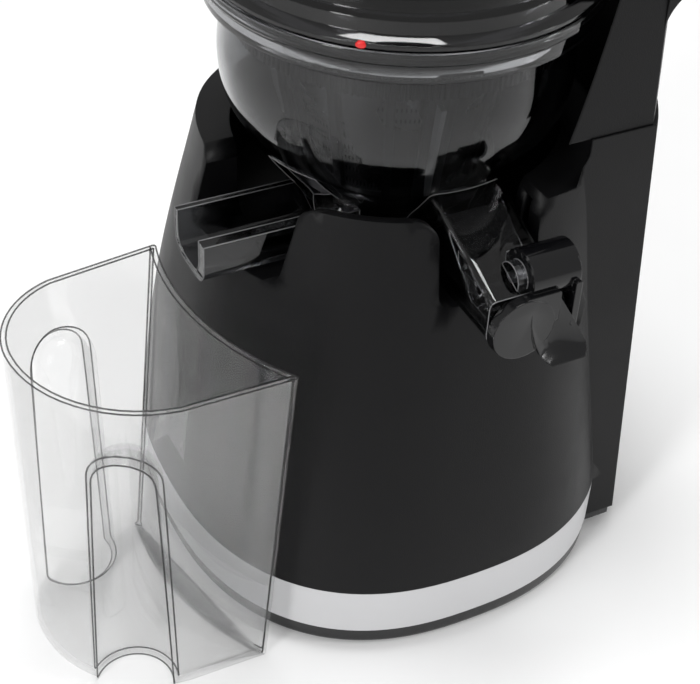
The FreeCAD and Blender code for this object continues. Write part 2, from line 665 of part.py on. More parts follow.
def spout_solid(side, x_low, x_high, radius):
    """A bar along the spout with a given side outline and rounded long edges."""
    face = Part.Face(polygon([Vector(x_low, y, z) for y, z in side]))
    bar = face.extrude(Vector(x_high - x_low, 0, 0))
    long_edges = [e for e in bar.Edges if e.BoundBox.XLength < 0.01 and e.BoundBox.YLength > 1.0]
    return bar.makeFillet(radius, long_edges)


def bowl():
    """Clear bowl with a bayonet flange, an open pulp chute and a closed juice spout."""
    outer = [(0, BOWL_BASE_Z), (36.0, BOWL_BASE_Z)] + bowl_profile(0.0)
    outer += [(67.2, FLANGE_LOW_Z), (FLANGE_RADIUS, FLANGE_TOP_Z), (0, FLANGE_TOP_Z)]
    inner = [(0, BOWL_BASE_Z + 2.4)] + bowl_profile(BOWL_WALL)
    inner[1] = (34.8, BOWL_BASE_Z + 2.4)
    inner += [(FLANGE_RADIUS - 6.2, FLANGE_LOW_Z + 2.0), (FLANGE_RADIUS - 3.4, FLANGE_TOP_Z + 1)]
    inner.append((0, FLANGE_TOP_Z + 1))
    body = revolve(outer)
    trough = rounded_bar((CHUTE_END_X, -30), CHUTE_Y, (CHUTE_Z[0], CHUTE_Z[1] + 16), 9.0, Vector(1, 0, 0))
    trough = trough.common(box((-BIG, BIG), (-BIG, BIG), (0, CHUTE_Z[1])))
    body = body.fuse(trough).fuse(spout_solid(SPOUT_SIDE, *SPOUT_X, 2.8)).fuse(cap_ear())
    body = body.cut(revolve(inner))
    channel = rounded_bar(
        (CHUTE_END_X - 10, -38),
        (CHUTE_Y[0] + CHUTE_WALL_FRONT, CHUTE_Y[1] - CHUTE_WALL_REAR),
        (CHUTE_Z[0] + 2.2, CHUTE_Z[1] + 20),
        6.8,
        Vector(1, 0, 0),
    )
    body = body.cut(channel.common(box((-BIG, BIG), (-BIG, BIG), (0, CHUTE_Z[1] + 1))))
    passage = spout_solid(SPOUT_PASSAGE, SPOUT_X[0] + SPOUT_WALL, SPOUT_X[1] - SPOUT_WALL, 1.4)
    body = body.cut(passage).cut(pulp_plug())
    body = body.cut(cap_barrel(9.4, CAP_PIVOT_X[0] - 0.4, CAP_PIVOT_X[1] + 3.0))
    body = body.cut(cap_barrel(CAP_PIN_RADIUS, -20.0, 60.0))
    boss = tube(13.0, 9.4, BOWL_BASE_Z, BOWL_BASE_Z + 6.0)
    return body.cut(cylinder(9.4, 140, 148)).fuse(boss).removeSplitter()


def pulp_plug():
    """Silicone flap in the chute's floor that is opened to rinse it."""
    return rounded_bar((-62.0, -46.0), (-27.5, -15.0), (CHUTE_Z[0], CHUTE_Z[0] + 2.2), 3.0, Z_AXIS)


def bowl_seal():
    return tube(12.6, 9.6, BOWL_BASE_Z + 6.0, BOWL_BASE_Z + 7.2)


# ---- spout cap --------------------------------------------------------------------------
def cap_barrel(radius, x_low, x_high):
    start = Vector(x_low, CAP_PIVOT_Y, CAP_PIVOT_Z)
    return Part.makeCylinder(radius, x_high - x_low, start, Vector(1, 0, 0))


def cap_ear():
    """Ear on the spout that holds the cap's pin."""
    foot = box((-2.0, 1.6), (CAP_PIVOT_Y - 5.5, CAP_PIVOT_Y + 6.5), (158.0, CAP_PIVOT_Z))
    return foot.fuse(cap_barrel(5.5, -2.0, 1.6))


def juice_cap():
    """Lever cap: a round stopper under a hinge barrel, with a thumb lever beside it."""
    x, z, radius = CAP_DISC
    near = SPOUT_END_Y - CAP_GAP
    disc = Part.makeCylinder(radius, 3.6, Vector(x, near, z), Vector(0, -1, 0))
    bridge = box((CAP_PIVOT_X[0], 9.0), (near - 3.6, near), (z, CAP_PIVOT_Z - 2.0))
    plate_z = (134.0, CAP_PIVOT_Z - 3.0)
    lever = rounded_bar((6.0, 25.0), (near - 6.4, near - 3.0), plate_z, 5.0, Vector(0, 1, 0))
    web = box((16.0, 18.6), (near - 3.6, CAP_PIVOT_Y), (146.0, CAP_PIVOT_Z))
    thumb = rounded_bar((22.4, 25.0), (near - 6.4, near + 6.0), (137.0, 156.0), 2.5, Vector(1, 0, 0))
    cap = cap_barrel(9.0, *CAP_PIVOT_X).fuse(disc).fuse(bridge).fuse(lever).fuse(web).fuse(thumb)
    return cap.cut(cap_barrel(CAP_PIN_RADIUS + 0.05, -20.0, 60.0)).removeSplitter()


def cap_pin():
    return cap_barrel(CAP_PIN_RADIUS, -2.0, CAP_PIVOT_X[1] + 0.8)


def cap_seal():
    """Silicone plug on the stopper that enters the spout."""
    end = SPOUT_END_Y - CAP_GAP
    return rounded_bar((-9.6, 9.6), (end, end + 3.0), (148.3, 151.9), 1.4, Vector(0, 1, 0))


# ---- strainer, brush and auger ----------------------------------------------------------
def strainer_radius(z):
    low, high = STRAINER_LOW, STRAINER_HIGH
    return low[0] + (high[0] - low[0]) * (z - low[1]) / (high[1] - low[1])


def strainer_frame():
    """Moulded frame: a floor ring, a top flange and twelve ribs."""
    floor = tube(strainer_radius(162), 22.0, 160.0, 163.0)
    flange = tube(52.0, strainer_radius(221) - 3.0, 221.0, 223.4)
    collar = tube(strainer_radius(216), strainer_radius(216) - 2.6, 215.0, 221.2)
    frame = floor.fuse(flange).fuse(collar)
    slant = cone(strainer_radius(160), strainer_radius(221), 160.0, 221.0)
    core = cone(strainer_radius(160) - RIB_DEPTH, strainer_radius(221) - RIB_DEPTH, 159.9, 221.1)
    slant = slant.cut(core)
    for rib in range(12):
        bar = box((20, 60), (-1.5, 1.5), (160.5, 221.0))
        frame = frame.fuse(turned(bar, 30.0 * rib).common(slant))
    return frame.removeSplitter()


def strainer_mesh():
    """Perforated steel sleeve inside the frame's ribs."""
    z_low, z_high = 163.0, 214.8
    outer = cone(strainer_radius(z_low) - 2.5, strainer_radius(z_high) - 2.5, z_low, z_high)
    bore = cone(strainer_radius(z_low) - 3.1, strainer_radius(z_high) - 3.1, z_low - 0.1, z_high + 0.1)
    return outer.cut(bore)


def brush_holder():
    """Rotating frame round the strainer, driven by the ring gear at its foot."""
    ring = cylinder(34.5, 152.0, 158.0)
    teeth = gear_outline(BRUSH_RING_TEETH, BRUSH_MODULE, 1.25, 0.9, -GEAR_CLEAR)
    ring = ring.cut(turned(prism(teeth, 150.0, 160.0), PINION_ANGLE))
    skirt = tube(38.2, 36.0, 160.0, 164.0)
    step = revolve([(33.0, 157.0), (34.5, 157.0), (38.2, 160.2), (36.2, 160.2), (33.0, 158.2)])
    top = tube(strainer_radius(212) + 3.0, strainer_radius(212) + 0.8, 208.0, 213.0)
    frame = ring.fuse(step).fuse(skirt).fuse(top)
    slant = cone(38.2, 46.2, 162.0, 212.0).cut(cone(36.0, 43.6, 161.9, 212.1))
    for arm in range(3):
        bar = box((20, 60), (-4.0, 4.0), (162.5, 211.0))
        frame = frame.fuse(turned(bar, 120.0 * arm + 20.0).common(slant))
    return frame.removeSplitter()


def wiper_blades():
    """Silicone blades in the brush frame, wiping both the bowl and the strainer."""
    blades = []
    outer = cone(41.0, 50.0, 168.0, 206.0)
    for arm in range(3):
        fin = box((40, 60), (-0.9, 0.9), (168.0, 206.0)).common(outer)
        holder = cone(38.2, 46.2, 162.0, 212.0)
        blades.append(turned(fin.cut(holder), 120.0 * arm + 20.0))
    return Part.makeCompound(blades)


def brush_pinion():
    centre = pinion_centre()
    blank = gear(BRUSH_PINION_TEETH, BRUSH_MODULE, 151.5, 157.2, PINION_ANGLE, centre)
    return blank.cut(cylinder(2.05, 140, 170, centre)).removeSplitter()


def pinion_centre():
    angle = math.radians(PINION_ANGLE)
    return (PINION_ORBIT * math.cos(angle), PINION_ORBIT * math.sin(angle))


def pinion_pin():
    return cylinder(2.0, BOWL_BASE_Z + 2.4, 157.3, pinion_centre())


def auger_gear():
    """Gear under the auger that turns the brush through the pinion."""
    half_pitch = 180.0 / AUGER_GEAR_TEETH
    wheel = gear(AUGER_GEAR_TEETH, BRUSH_MODULE, 152.6, 157.4, PINION_ANGLE + half_pitch)
    return wheel.cut(hexagon(HEX_HALF + HEX_FIT, 140, 180)).removeSplitter()


def auger_section(z, turn, core, reach):
    """Plan outline with two rounded flights on a round core."""
    points = []
    for step in range(36):
        angle = 2 * math.pi * step / 36
        lobe = max(0.0, math.cos(angle)) ** 10 + max(0.0, -math.cos(angle)) ** 10
        radius = core + (reach - core) * lobe
        points.append(Vector(radius * math.cos(angle + turn), radius * math.sin(angle + turn), z))
    return polygon(points)


def auger():
    """Tapered screw that carries food down and presses it against the strainer."""
    wires = []
    layers = 15
    for layer in range(layers):
        share = layer / (layers - 1)
        z = AUGER_LOW_Z + (AUGER_TOP_Z - AUGER_LOW_Z) * share
        core = AUGER_CORE_LOW + (AUGER_CORE_TOP - AUGER_CORE_LOW) * share
        wires.append(auger_section(z, AUGER_TWIST * share, core, strainer_radius(z) - AUGER_CLEAR))
    screw = Part.makeLoft(wires, True, True)
    neck = cylinder(21.4, 157.4, AUGER_LOW_Z)
    top = cylinder(16.4, AUGER_TOP_Z, 224.0)
    tip = cylinder(5.0, 224.0, 246.0)
    body = screw.fuse(neck).fuse(top).fuse(tip)
    return body.cut(hexagon(HEX_HALF + HEX_FIT, 140, 176)).removeSplitter()


# ---- lid, tube and pusher ---------------------------------------------------------------
def lid():
    """Stepped lid with a bearing boss for the auger and a round feed tube."""
    outer = [
        (0, 226.5),
        (55.0, 226.5),
        (59.0, 232.0),
        (60.0, FLANGE_TOP_Z + 0.3),
        (69.2, FLANGE_TOP_Z + 0.3),
        (69.4, 239.6),
        (66.0, 240.8),
        (65.0, 246.0),
        (62.5, 248.0),
        (61.0, 252.5),
        (56.0, 257.0),
        (46.0, LID_TOP_Z),
        (0, LID_TOP_Z),
    ]
    inner = [
        (0, 225.0),
        (52.4, 225.0),
        (56.4, 233.0),
        (57.4, 246.0),
        (54.0, 252.0),
        (44.5, LID_TOP_Z - 2.8),
        (0, LID_TOP_Z - 2.8),
    ]
    shell = revolve(outer).cut(revolve(inner))
    shell = shell.fuse(cylinder(TUBE_RADIUS, LID_TOP_Z - 2.0, TUBE_TOP_Z, TUBE_CENTRE))
    shell = shell.cut(cylinder(TUBE_RADIUS - TUBE_WALL, 240.0, TUBE_TOP_Z + 1, TUBE_CENTRE))
    spider = box((-60.0, 60.0), (-4.0, 4.0), (240.0, 246.0)).common(cylinder(58.0, 230, 250))
    spider = spider.fuse(cylinder(9.0, 238.0, 247.0)).cut(cylinder(5.1, 230, 250))
    rim = tube(TUBE_RADIUS + 2.0, TUBE_RADIUS - TUBE_WALL, TUBE_TOP_Z - 5.0, TUBE_TOP_Z, TUBE_CENTRE)
    whole = shell.fuse(spider).fuse(rim)
    return whole.cut(alignment_dot()).cut(lid_magnet()).removeSplitter()


def lid_magnet():
    """Magnet that closes the interlock when the lid is locked."""
    return box((59.2, 61.6), (-4.0, 4.0), (241.0, 245.0))


def lid_seal():
    return tube(61.8, 60.2, FLANGE_TOP_Z - 3.6, FLANGE_TOP_Z - 0.6)


def alignment_dot():
    """Coloured mark that shows where the lid locks."""
    angle = math.radians(DOT_ANGLE)
    start = Vector(66.0 * math.cos(angle), 66.0 * math.sin(angle), 240.0)
    return Part.makeCylinder(DOT_RADIUS, 3.9, start, Vector(math.cos(angle), math.sin(angle), 0))


def pusher():
    """Hollow pusher that hangs in the feed tube by its cap."""
    inner = TUBE_RADIUS - TUBE_WALL
    stem = cylinder(inner - 1.2, PUSHER_LOW_Z, TUBE_TOP_Z + 6.0, TUBE_CENTRE)
    stem = stem.cut(cylinder(inner - 4.0, PUSHER_LOW_Z + 3.0, TUBE_TOP_Z + 30.0, TUBE_CENTRE))
    collar = tube(TUBE_RADIUS + 3.0, inner - 4.0, TUBE_TOP_Z + 0.2, TUBE_TOP_Z + 6.0, TUBE_CENTRE)
    grip = cone(inner - 1.0, inner - 4.6, TUBE_TOP_Z + 6.0, PUSHER_TOP_Z, TUBE_CENTRE)
    hollow = cone(inner - 4.0, inner - 7.4, TUBE_TOP_Z + 5.9, PUSHER_TOP_Z - 3.0, TUBE_CENTRE)
    return stem.fuse(collar).fuse(grip.cut(hollow)).removeSplitter()


# ---- pulp container ---------------------------------------------------------------------
def cup_wire(height, inset):
    """Plan outline of the container: hollow towards the body, rounded away from it."""
    rise = height / CUP_HEIGHT
    near_front = Vector(-80.8 + 9.3 * rise, -76.6 - 2.0 * rise, height)
    near_back = Vector(-100.6 + 12.0 * rise, 7.0 + 0.8 * rise, height)
    hollow = Vector(-100.4 + 9.3 * rise, -28.0, height)
    front_far = Vector(-112.0, -76.4 - 1.8 * rise, height)
    front_mid = Vector(-142.2, -61.6 - 0.8 * rise, height)
    far = Vector(-154.8, -31.0, height)
    back_mid = Vector(-147.2, -8.4 - 0.6 * rise, height)
    back_far = Vector(-130.0, 2.0 + 0.4 * rise, height)
    edges = [
        Part.LineSegment(near_front, front_far).toShape(),
        Part.Arc(front_far, front_mid, far).toShape(),
        Part.Arc(far, back_mid, back_far).toShape(),
        Part.LineSegment(back_far, near_back).toShape(),
        Part.Arc(near_back, hollow, near_front).toShape(),
    ]
    wire = Part.Wire(edges)
    if inset > 0.0:
        wire = wire.makeOffset2D(-inset)
    return wire


def cup_form(inset, z_low, z_high):
    form = Part.makeLoft([cup_wire(0.0, inset), cup_wire(CUP_HEIGHT, inset)], True, True)
    return form.common(box((-BIG, BIG), (-BIG, BIG), (z_low, z_high)))


def grip_recess(wall, side):
    """A round-backed finger groove in one outer corner, open at the foot and arched on top."""
    foot = Vector(-131.1, CUP_MID_Y + side * 34.6, -0.5)
    lean = Vector(1.8, side * -1.0, GRIP_TOP_Z + 0.5)
    top_radius = GRIP_HALF - 3.4 + wall
    groove = Part.makeCone(GRIP_HALF + wall, top_radius, lean.Length, foot, lean)
    return groove.fuse(Part.makeSphere(top_radius, foot + lean))


def pulp_container():
    solid = cup_form(0.0, 0.0, CUP_HEIGHT)
    cavity = cup_form(CUP_WALL, CUP_WALL, CUP_HEIGHT)
    for side in (-1, 1):
        solid = solid.cut(grip_recess(0.0, side))
        cavity = cavity.cut(grip_recess(CUP_WALL, side))
    return solid.cut(cavity).removeSplitter()


# ---- everything -------------------------------------------------------------------------
MAKERS = [
    main_shell,
    trim_band,
    base_plate,
    base_screws,
    feet,
    tower_cover,
    carry_handle,
    switch_bezel,
    rocker,
    cord_inlet,
    motor_can,
    motor_stator,
    motor_windings,
    motor_rotor,
    motor_shaft,
    motor_bearings,
    motor_lower_bracket,
    cooling_fan,
    motor_pinion,
    idler_gear,
    idler_pin,
    output_gear,
    output_shaft,
    output_bushing,
    shaft_seal,
    gearbox_tray,
    gearbox_cover,
    gearbox_posts,
    control_board,
    reed_switch,
    bowl,
    pulp_plug,
    bowl_seal,
    juice_cap,
    cap_seal,
    cap_pin,
    strainer_frame,
    strainer_mesh,
    brush_holder,
    wiper_blades,
    brush_pinion,
    pinion_pin,
    auger_gear,
    auger,
    lid,
    lid_magnet,
    lid_seal,
    alignment_dot,
    pusher,
    pulp_container,
]

os.makedirs("parts", exist_ok=True)
for maker in MAKERS:
    save(maker.__name__, maker())
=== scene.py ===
import math

import bmesh
import bpy
from mathutils import Matrix, Vector


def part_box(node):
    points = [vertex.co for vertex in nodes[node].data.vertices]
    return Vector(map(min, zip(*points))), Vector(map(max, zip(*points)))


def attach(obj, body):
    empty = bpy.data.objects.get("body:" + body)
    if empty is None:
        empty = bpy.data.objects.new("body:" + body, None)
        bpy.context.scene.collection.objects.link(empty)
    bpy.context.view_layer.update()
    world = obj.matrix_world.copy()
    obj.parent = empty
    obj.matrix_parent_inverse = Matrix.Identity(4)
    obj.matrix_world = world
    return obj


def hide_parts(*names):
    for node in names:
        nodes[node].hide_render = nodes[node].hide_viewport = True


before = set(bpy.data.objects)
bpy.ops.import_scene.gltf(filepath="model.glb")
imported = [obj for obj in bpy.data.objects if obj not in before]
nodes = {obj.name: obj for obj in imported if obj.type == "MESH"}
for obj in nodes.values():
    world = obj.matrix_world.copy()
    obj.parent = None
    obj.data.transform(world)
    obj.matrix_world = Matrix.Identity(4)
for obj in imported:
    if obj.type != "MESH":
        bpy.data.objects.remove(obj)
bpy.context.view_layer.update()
MM = 0.001

# Sizes and places that several pieces share, in metres.
BOWL_WALL = 2.2 * MM
CHUTE_TOP = 164.0 * MM
SPOUT_X = (-12.8 * MM, 13.8 * MM)
SPOUT_LOW = 145.4         # underside of the spout and floor of its passage, in millimetres
PASSAGE_LOW = 147.6
HINGE_Y = -88.2 * MM      # pin of the spout cap
HINGE_Z = 163.7 * MM
HINGE_X = (2.0 * MM, 20.0 * MM)
BARREL_RADIUS = 9.0 * MM
TUBE_CENTRE = (12.0 * MM, 6.0 * MM)
TUBE_RADIUS = 27.0 * MM
MARK_ANGLE = math.radians(-128.3)
MARK_RADIUS = 69.3        # of the lid's rim there, in millimetres
MARK_HEIGHT = 239.3 * MM
COMB_RADIUS = 57.2 * MM
COMB_Z = (214.6 * MM, 221.6 * MM)
COLLAR_Z = (221.8 * MM, 225.8 * MM)
CUP_WALL = 1.8            # the container and its two grooves, in millimetres
GROOVE_X = -131.1
GROOVE_MID_Y = -34.9
GROOVE_APART = 34.6       # from the middle to each groove
GROOVE_HEIGHT = 104.5
GROOVE_LOW_RADIUS = 14.4
GROOVE_TOP_RADIUS = 11.0


def span(node):
    """A node's box as ((x low, x high), (y low, y high), (z low, z high))."""
    low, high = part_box(node)
    return tuple(zip(low, high))


# ---- materials --------------------------------------------------------------------------
def material(name, colour, rough, *, metallic=0.0, transmission=0.0, alpha=1.0, ior=1.5, grain=None,
             bump=0.0, mottle=0.06, spread=0.05, edge=0.0, brushed=False, specular=0.5):
    """A moulded or metal surface: fine grain in the bump, a slow mottle in colour and roughness."""
    mat = bpy.data.materials.new(name)
    mat.use_nodes = True
    tree = mat.node_tree
    shader = tree.nodes["Principled BSDF"]
    shader.inputs["Metallic"].default_value = metallic
    shader.inputs["Transmission Weight"].default_value = transmission
    shader.inputs["IOR"].default_value = ior
    shader.inputs["Alpha"].default_value = alpha
    shader.inputs["Specular IOR Level"].default_value = specular
    place = tree.nodes.new("ShaderNodeTexCoord")
    slow = tree.nodes.new("ShaderNodeTexNoise")
    slow.inputs["Scale"].default_value = 34.0
    slow.inputs["Detail"].default_value = 4.0
    tree.links.new(place.outputs["Object"], slow.inputs["Vector"])
    tint = tree.nodes.new("ShaderNodeMix")
    tint.data_type = "RGBA"
    tint.inputs["A"].default_value = [c * (1 - mottle) for c in colour] + [1.0]
    tint.inputs["B"].default_value = [min(1.0, c * (1 + mottle)) for c in colour] + [1.0]
    tree.links.new(slow.outputs["Fac"], tint.inputs["Factor"])
    tree.links.new(tint.outputs["Result"], shader.inputs["Base Color"])
    sheen = tree.nodes.new("ShaderNodeMapRange")
    sheen.inputs["From Min"].default_value = 0.3
    sheen.inputs["From Max"].default_value = 0.7
    sheen.inputs["To Min"].default_value = max(0.0, rough - spread)
    sheen.inputs["To Max"].default_value = min(1.0, rough + spread)
    tree.links.new(slow.outputs["Fac"], sheen.inputs["Value"])
    tree.links.new(sheen.outputs["Result"], shader.inputs["Roughness"])
    normal = None
    if edge:
        soften = tree.nodes.new("ShaderNodeBevel")
        soften.samples = 4
        soften.inputs["Radius"].default_value = edge
        normal = soften.outputs["Normal"]
    if grain:
        fine = tree.nodes.new("ShaderNodeTexNoise")
        fine.inputs["Scale"].default_value = 1.0 / grain
        fine.inputs["Detail"].default_value = 2.0
        source = place.outputs["Object"]
        if brushed:
            stretch = tree.nodes.new("ShaderNodeMapping")
            stretch.inputs["Scale"].default_value = (1.0, 1.0, 0.03)
            tree.links.new(source, stretch.inputs["Vector"])
            source = stretch.outputs["Vector"]
        tree.links.new(source, fine.inputs["Vector"])
        relief = tree.nodes.new("ShaderNodeBump")
        relief.inputs["Strength"].default_value = bump
        relief.inputs["Distance"].default_value = 0.0003
        tree.links.new(fine.outputs["Fac"], relief.inputs["Height"])
        if normal:
            tree.links.new(normal, relief.inputs["Normal"])
        normal = relief.outputs["Normal"]
    if normal:
        tree.links.new(normal, shader.inputs["Normal"])
    return mat


BLACK = material("black_matt_moulding", (0.004, 0.004, 0.0044), 0.40, grain=0.00045, bump=0.25, edge=0.0008,
                 specular=0.16)
BASE = material("black_satin_base", (0.005, 0.005, 0.0055), 0.24, grain=0.0006, bump=0.06, edge=0.0012)
GLOSS = material("black_gloss", (0.003, 0.003, 0.0035), 0.12, specular=0.4, grain=0.004, bump=0.03,
                 edge=0.0006)
SILVER = material("silver_paint", (0.58, 0.58, 0.59), 0.36, metallic=0.15, grain=0.0002, bump=0.10,
                  mottle=0.02)
RUBBER = material("foot_rubber", (0.03, 0.03, 0.03), 0.75, grain=0.0005, bump=0.3)
STEEL = material("turned_steel", (0.55, 0.55, 0.57), 0.30, metallic=1.0, grain=0.0003, bump=0.12,
                 brushed=True)
ZINC = material("zinc_plate", (0.42, 0.43, 0.45), 0.38, metallic=0.9, grain=0.0006, bump=0.15)
ALLOY = material("cast_alloy", (0.66, 0.66, 0.68), 0.42, metallic=0.9, grain=0.0005, bump=0.2)
COPPER = material("enamelled_wire", (0.60, 0.28, 0.12), 0.32, metallic=0.9, grain=0.0004, bump=0.6,
                  brushed=True)
BRONZE = material("sintered_bronze", (0.52, 0.36, 0.18), 0.45, metallic=0.9, grain=0.0004, bump=0.3)
NYLON = material("nylon", (0.74, 0.73, 0.68), 0.42, grain=0.0006, bump=0.12, edge=0.0003)
GREY = material("grey_moulding", (0.22, 0.225, 0.235), 0.45, grain=0.0005, bump=0.2, edge=0.0006)
BOARD = material("solder_mask", (0.02, 0.13, 0.06), 0.35, grain=0.0015, bump=0.25, mottle=0.25)
SILICONE = material("grey_silicone", (0.16, 0.16, 0.165), 0.50, grain=0.0008, bump=0.1)
PALE = material("pale_silicone", (0.62, 0.62, 0.61), 0.45, grain=0.0008, bump=0.1)
DARK = material("dark_strainer", (0.045, 0.045, 0.048), 0.30, grain=0.0008, bump=0.08, edge=0.0005)
AUGER = material("auger_grey", (0.06, 0.06, 0.065), 0.36, grain=0.0006, bump=0.12, edge=0.0006)
MARK = material("red_mark", (0.62, 0.01, 0.01), 0.25, grain=0.0005, bump=0.05)
SMOKE = material("smoke_clear", (0.26, 0.265, 0.275), 0.03, transmission=1.0, ior=1.46, grain=0.02,
                 bump=0.012, mottle=0.03, spread=0.02, edge=0.0005)
SMOKE_DARK = material("smoke_dark", (0.03, 0.03, 0.033), 0.05, transmission=1.0, ior=1.48, grain=0.02,
                      bump=0.012, mottle=0.05, spread=0.02, edge=0.0006)
CLEAR = material("clear_cup", (0.40, 0.405, 0.41), 0.0, transmission=1.0, alpha=0.17, ior=1.45,
                 grain=0.03, bump=0.008, mottle=0.01, spread=0.01)
# painted highlight: lighter lines drawn along the bowl's chute and spout edges
BOWL_EDGE_HIGHLIGHT_PAINT = material("painted_smoke_edge_highlight", (0.16, 0.16, 0.165), 0.15, alpha=0.8, grain=0.03, bump=0.008,
                     mottle=0.05, spread=0.01)
# painted shade: dark lines along the cup's edges, where refraction darkens a clear wall seen edge-on
CUP_EDGE_SHADE_PAINT = material("painted_cup_edge_shade", (0.03, 0.03, 0.031), 0.12, alpha=0.62, ior=1.45, grain=0.03,
                    bump=0.008, mottle=0.05, spread=0.01)


def strainer_sheet():
    """Bright sheet with rows of fine slots, dark where a slot lies: painted shade in place of open slots."""
    mat = material("slotted_sheet", (0.60, 0.60, 0.61), 0.26, metallic=1.0)
    tree = mat.node_tree
    shader = tree.nodes["Principled BSDF"]
    place = tree.nodes.new("ShaderNodeTexCoord")
    part = tree.nodes.new("ShaderNodeSeparateXYZ")
    tree.links.new(place.outputs["Object"], part.inputs["Vector"])
    turn = tree.nodes.new("ShaderNodeMath")
    turn.operation = "ARCTAN2"
    tree.links.new(part.outputs["Y"], turn.inputs[0])
    tree.links.new(part.outputs["X"], turn.inputs[1])
    rows = wave(tree, turn.outputs["Value"], 150.0)
    lines = wave(tree, part.outputs["Z"], 1300.0)
    painted_slot_shade = tree.nodes.new("ShaderNodeMath")
    painted_slot_shade.operation = "MULTIPLY"
    tree.links.new(rows, painted_slot_shade.inputs[0])
    tree.links.new(lines, painted_slot_shade.inputs[1])
    # painted shade: the slots are painted dark rather than cut through
    tint = tree.nodes.new("ShaderNodeMix")
    tint.data_type = "RGBA"
    tint.inputs["A"].default_value = (0.60, 0.60, 0.61, 1.0)
    tint.inputs["B"].default_value = (0.02, 0.02, 0.02, 1.0)
    tree.links.new(painted_slot_shade.outputs["Value"], tint.inputs["Factor"])
    tree.links.new(tint.outputs["Result"], shader.inputs["Base Color"])
    return mat


def wave(tree, value, rate):
    """Positive half of a sine of the value."""
    scale = tree.nodes.new("ShaderNodeMath")
    scale.operation = "MULTIPLY"
    scale.inputs[1].default_value = rate
    tree.links.new(value, scale.inputs[0])
    sine = tree.nodes.new("ShaderNodeMath")
    sine.operation = "SINE"
    tree.links.new(scale.outputs["Value"], sine.inputs[0])
    lift = tree.nodes.new("ShaderNodeMath")
    lift.operation = "MAXIMUM"
    lift.inputs[1].default_value = 0.0
    tree.links.new(sine.outputs["Value"], lift.inputs[0])
    return lift.outputs["Value"]


# ---- mesh helpers -----------------------------------------------------------------------
def outward(bm):
    """Turns every face of a closed solid outwards."""
    bmesh.ops.recalc_face_normals(bm, faces=bm.faces)
    if bm.calc_volume(signed=True) < 0.0:
        bmesh.ops.reverse_faces(bm, faces=bm.faces)


def piece(name, bm, mat, body, *replaced, slot=None, sharp=35.0):
    """Makes an object of a bmesh, shaded smooth except at sharp edges, and puts it in the frame."""
    outward(bm)
    mesh = bpy.data.meshes.new(name)
    bm.to_mesh(mesh)
    bm.free()
    mesh.materials.append(mat)
    mesh.shade_smooth()
    mesh.set_sharp_from_angle(angle=math.radians(sharp))
    obj = bpy.data.objects.new(name, mesh)
    bpy.context.scene.collection.objects.link(obj)
    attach(obj, body)
    if replaced:
        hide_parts(*replaced)
    return obj


def rounded(points, radius, steps=6):
    """A closed outline with its corners rounded; radius is one number or one for each corner."""
    radii = radius if isinstance(radius, (list, tuple)) else [radius] * len(points)
    result = []
    for i, here in enumerate(points):
        here = Vector(here)
        before = Vector(points[i - 1]) - here
        after = Vector(points[(i + 1) % len(points)]) - here
        if radii[i] <= 0.0:
            result.append(here)
            continue
        turn = before.angle(after)
        reach = min(radii[i] / math.tan(turn / 2), before.length * 0.49, after.length * 0.49)
        start = here + before.normalized() * reach
        end = here + after.normalized() * reach
        for k in range(steps + 1):
            t = k / steps
            result.append(start * (1 - t) ** 2 + here * 2 * t * (1 - t) + end * t ** 2)
    return result


def smooth_line(points, steps=6):
    """A smooth open line through points."""
    points = [Vector(p) for p in points]
    line = []
    for i in range(len(points) - 1):
        p0 = points[max(i - 1, 0)]
        p1 = points[i]
        p2 = points[i + 1]
        p3 = points[min(i + 2, len(points) - 1)]
        for k in range(steps):
            t = k / steps
            a = p1 * 2
            b = (p2 - p0) * t
            c = (p0 * 2 - p1 * 5 + p2 * 4 - p3) * t * t
            d = (p1 * 3 - p0 - p2 * 3 + p3) * t * t * t
            line.append((a + b + c + d) * 0.5)
    return line + [points[-1]]


def lathe(profile, centre=(0.0, 0.0), segments=144):
    """Turns a closed (radius, height) outline, or one that ends on the axis, round +Z."""
    bm = bmesh.new()
    rings = []
    for k in range(segments):
        a = 2 * math.pi * k / segments
        rings.append([bm.verts.new((centre[0] + p[0] * math.cos(a), centre[1] + p[0] * math.sin(a), p[1]))
                      for p in profile])
    count = len(profile)
    for k in range(segments):
        here, there = rings[k], rings[(k + 1) % segments]
        for i in range(count):
            j = (i + 1) % count
            if profile[i][0] < 1e-6 and profile[j][0] < 1e-6:
                continue
            bm.faces.new((here[i], there[i], there[j], here[j]))
    bmesh.ops.remove_doubles(bm, verts=bm.verts, dist=1e-7)
    return bm


def loft(loops):
    """A closed solid through loops of equal count, with flat ends."""
    bm = bmesh.new()
    rings = [[bm.verts.new(p) for p in loop] for loop in loops]
    count = len(rings[0])
    for here, there in zip(rings, rings[1:]):
        for i in range(count):
            j = (i + 1) % count
            bm.faces.new((here[i], here[j], there[j], there[i]))
    bm.faces.new(rings[0])
    bm.faces.new(list(reversed(rings[-1])))
    return bm


def scratch(bm):
    """A hidden helper object of a bmesh, for a boolean."""
    outward(bm)
    mesh = bpy.data.meshes.new("scratch")
    bm.to_mesh(mesh)
    bm.free()
    obj = bpy.data.objects.new("scratch", mesh)
    bpy.context.scene.collection.objects.link(obj)
    return obj


def combine(base, steps):
    """Applies union and difference steps to a bmesh and returns the result as a bmesh."""
    obj = scratch(base)
    tools = []
    for operation, tool in steps:
        helper = scratch(tool)
        tools.append(helper)
        cut = obj.modifiers.new("step", "BOOLEAN")
        cut.operation = operation
        cut.solver = "MANIFOLD"
        cut.object = helper
    bpy.context.view_layer.update()
    done = obj.evaluated_get(bpy.context.evaluated_depsgraph_get())
    result = bmesh.new()
    result.from_mesh(done.to_mesh())
    for helper in tools + [obj]:
        bpy.data.objects.remove(helper)
    bmesh.ops.remove_doubles(result, verts=result.verts, dist=2e-6)
    return result


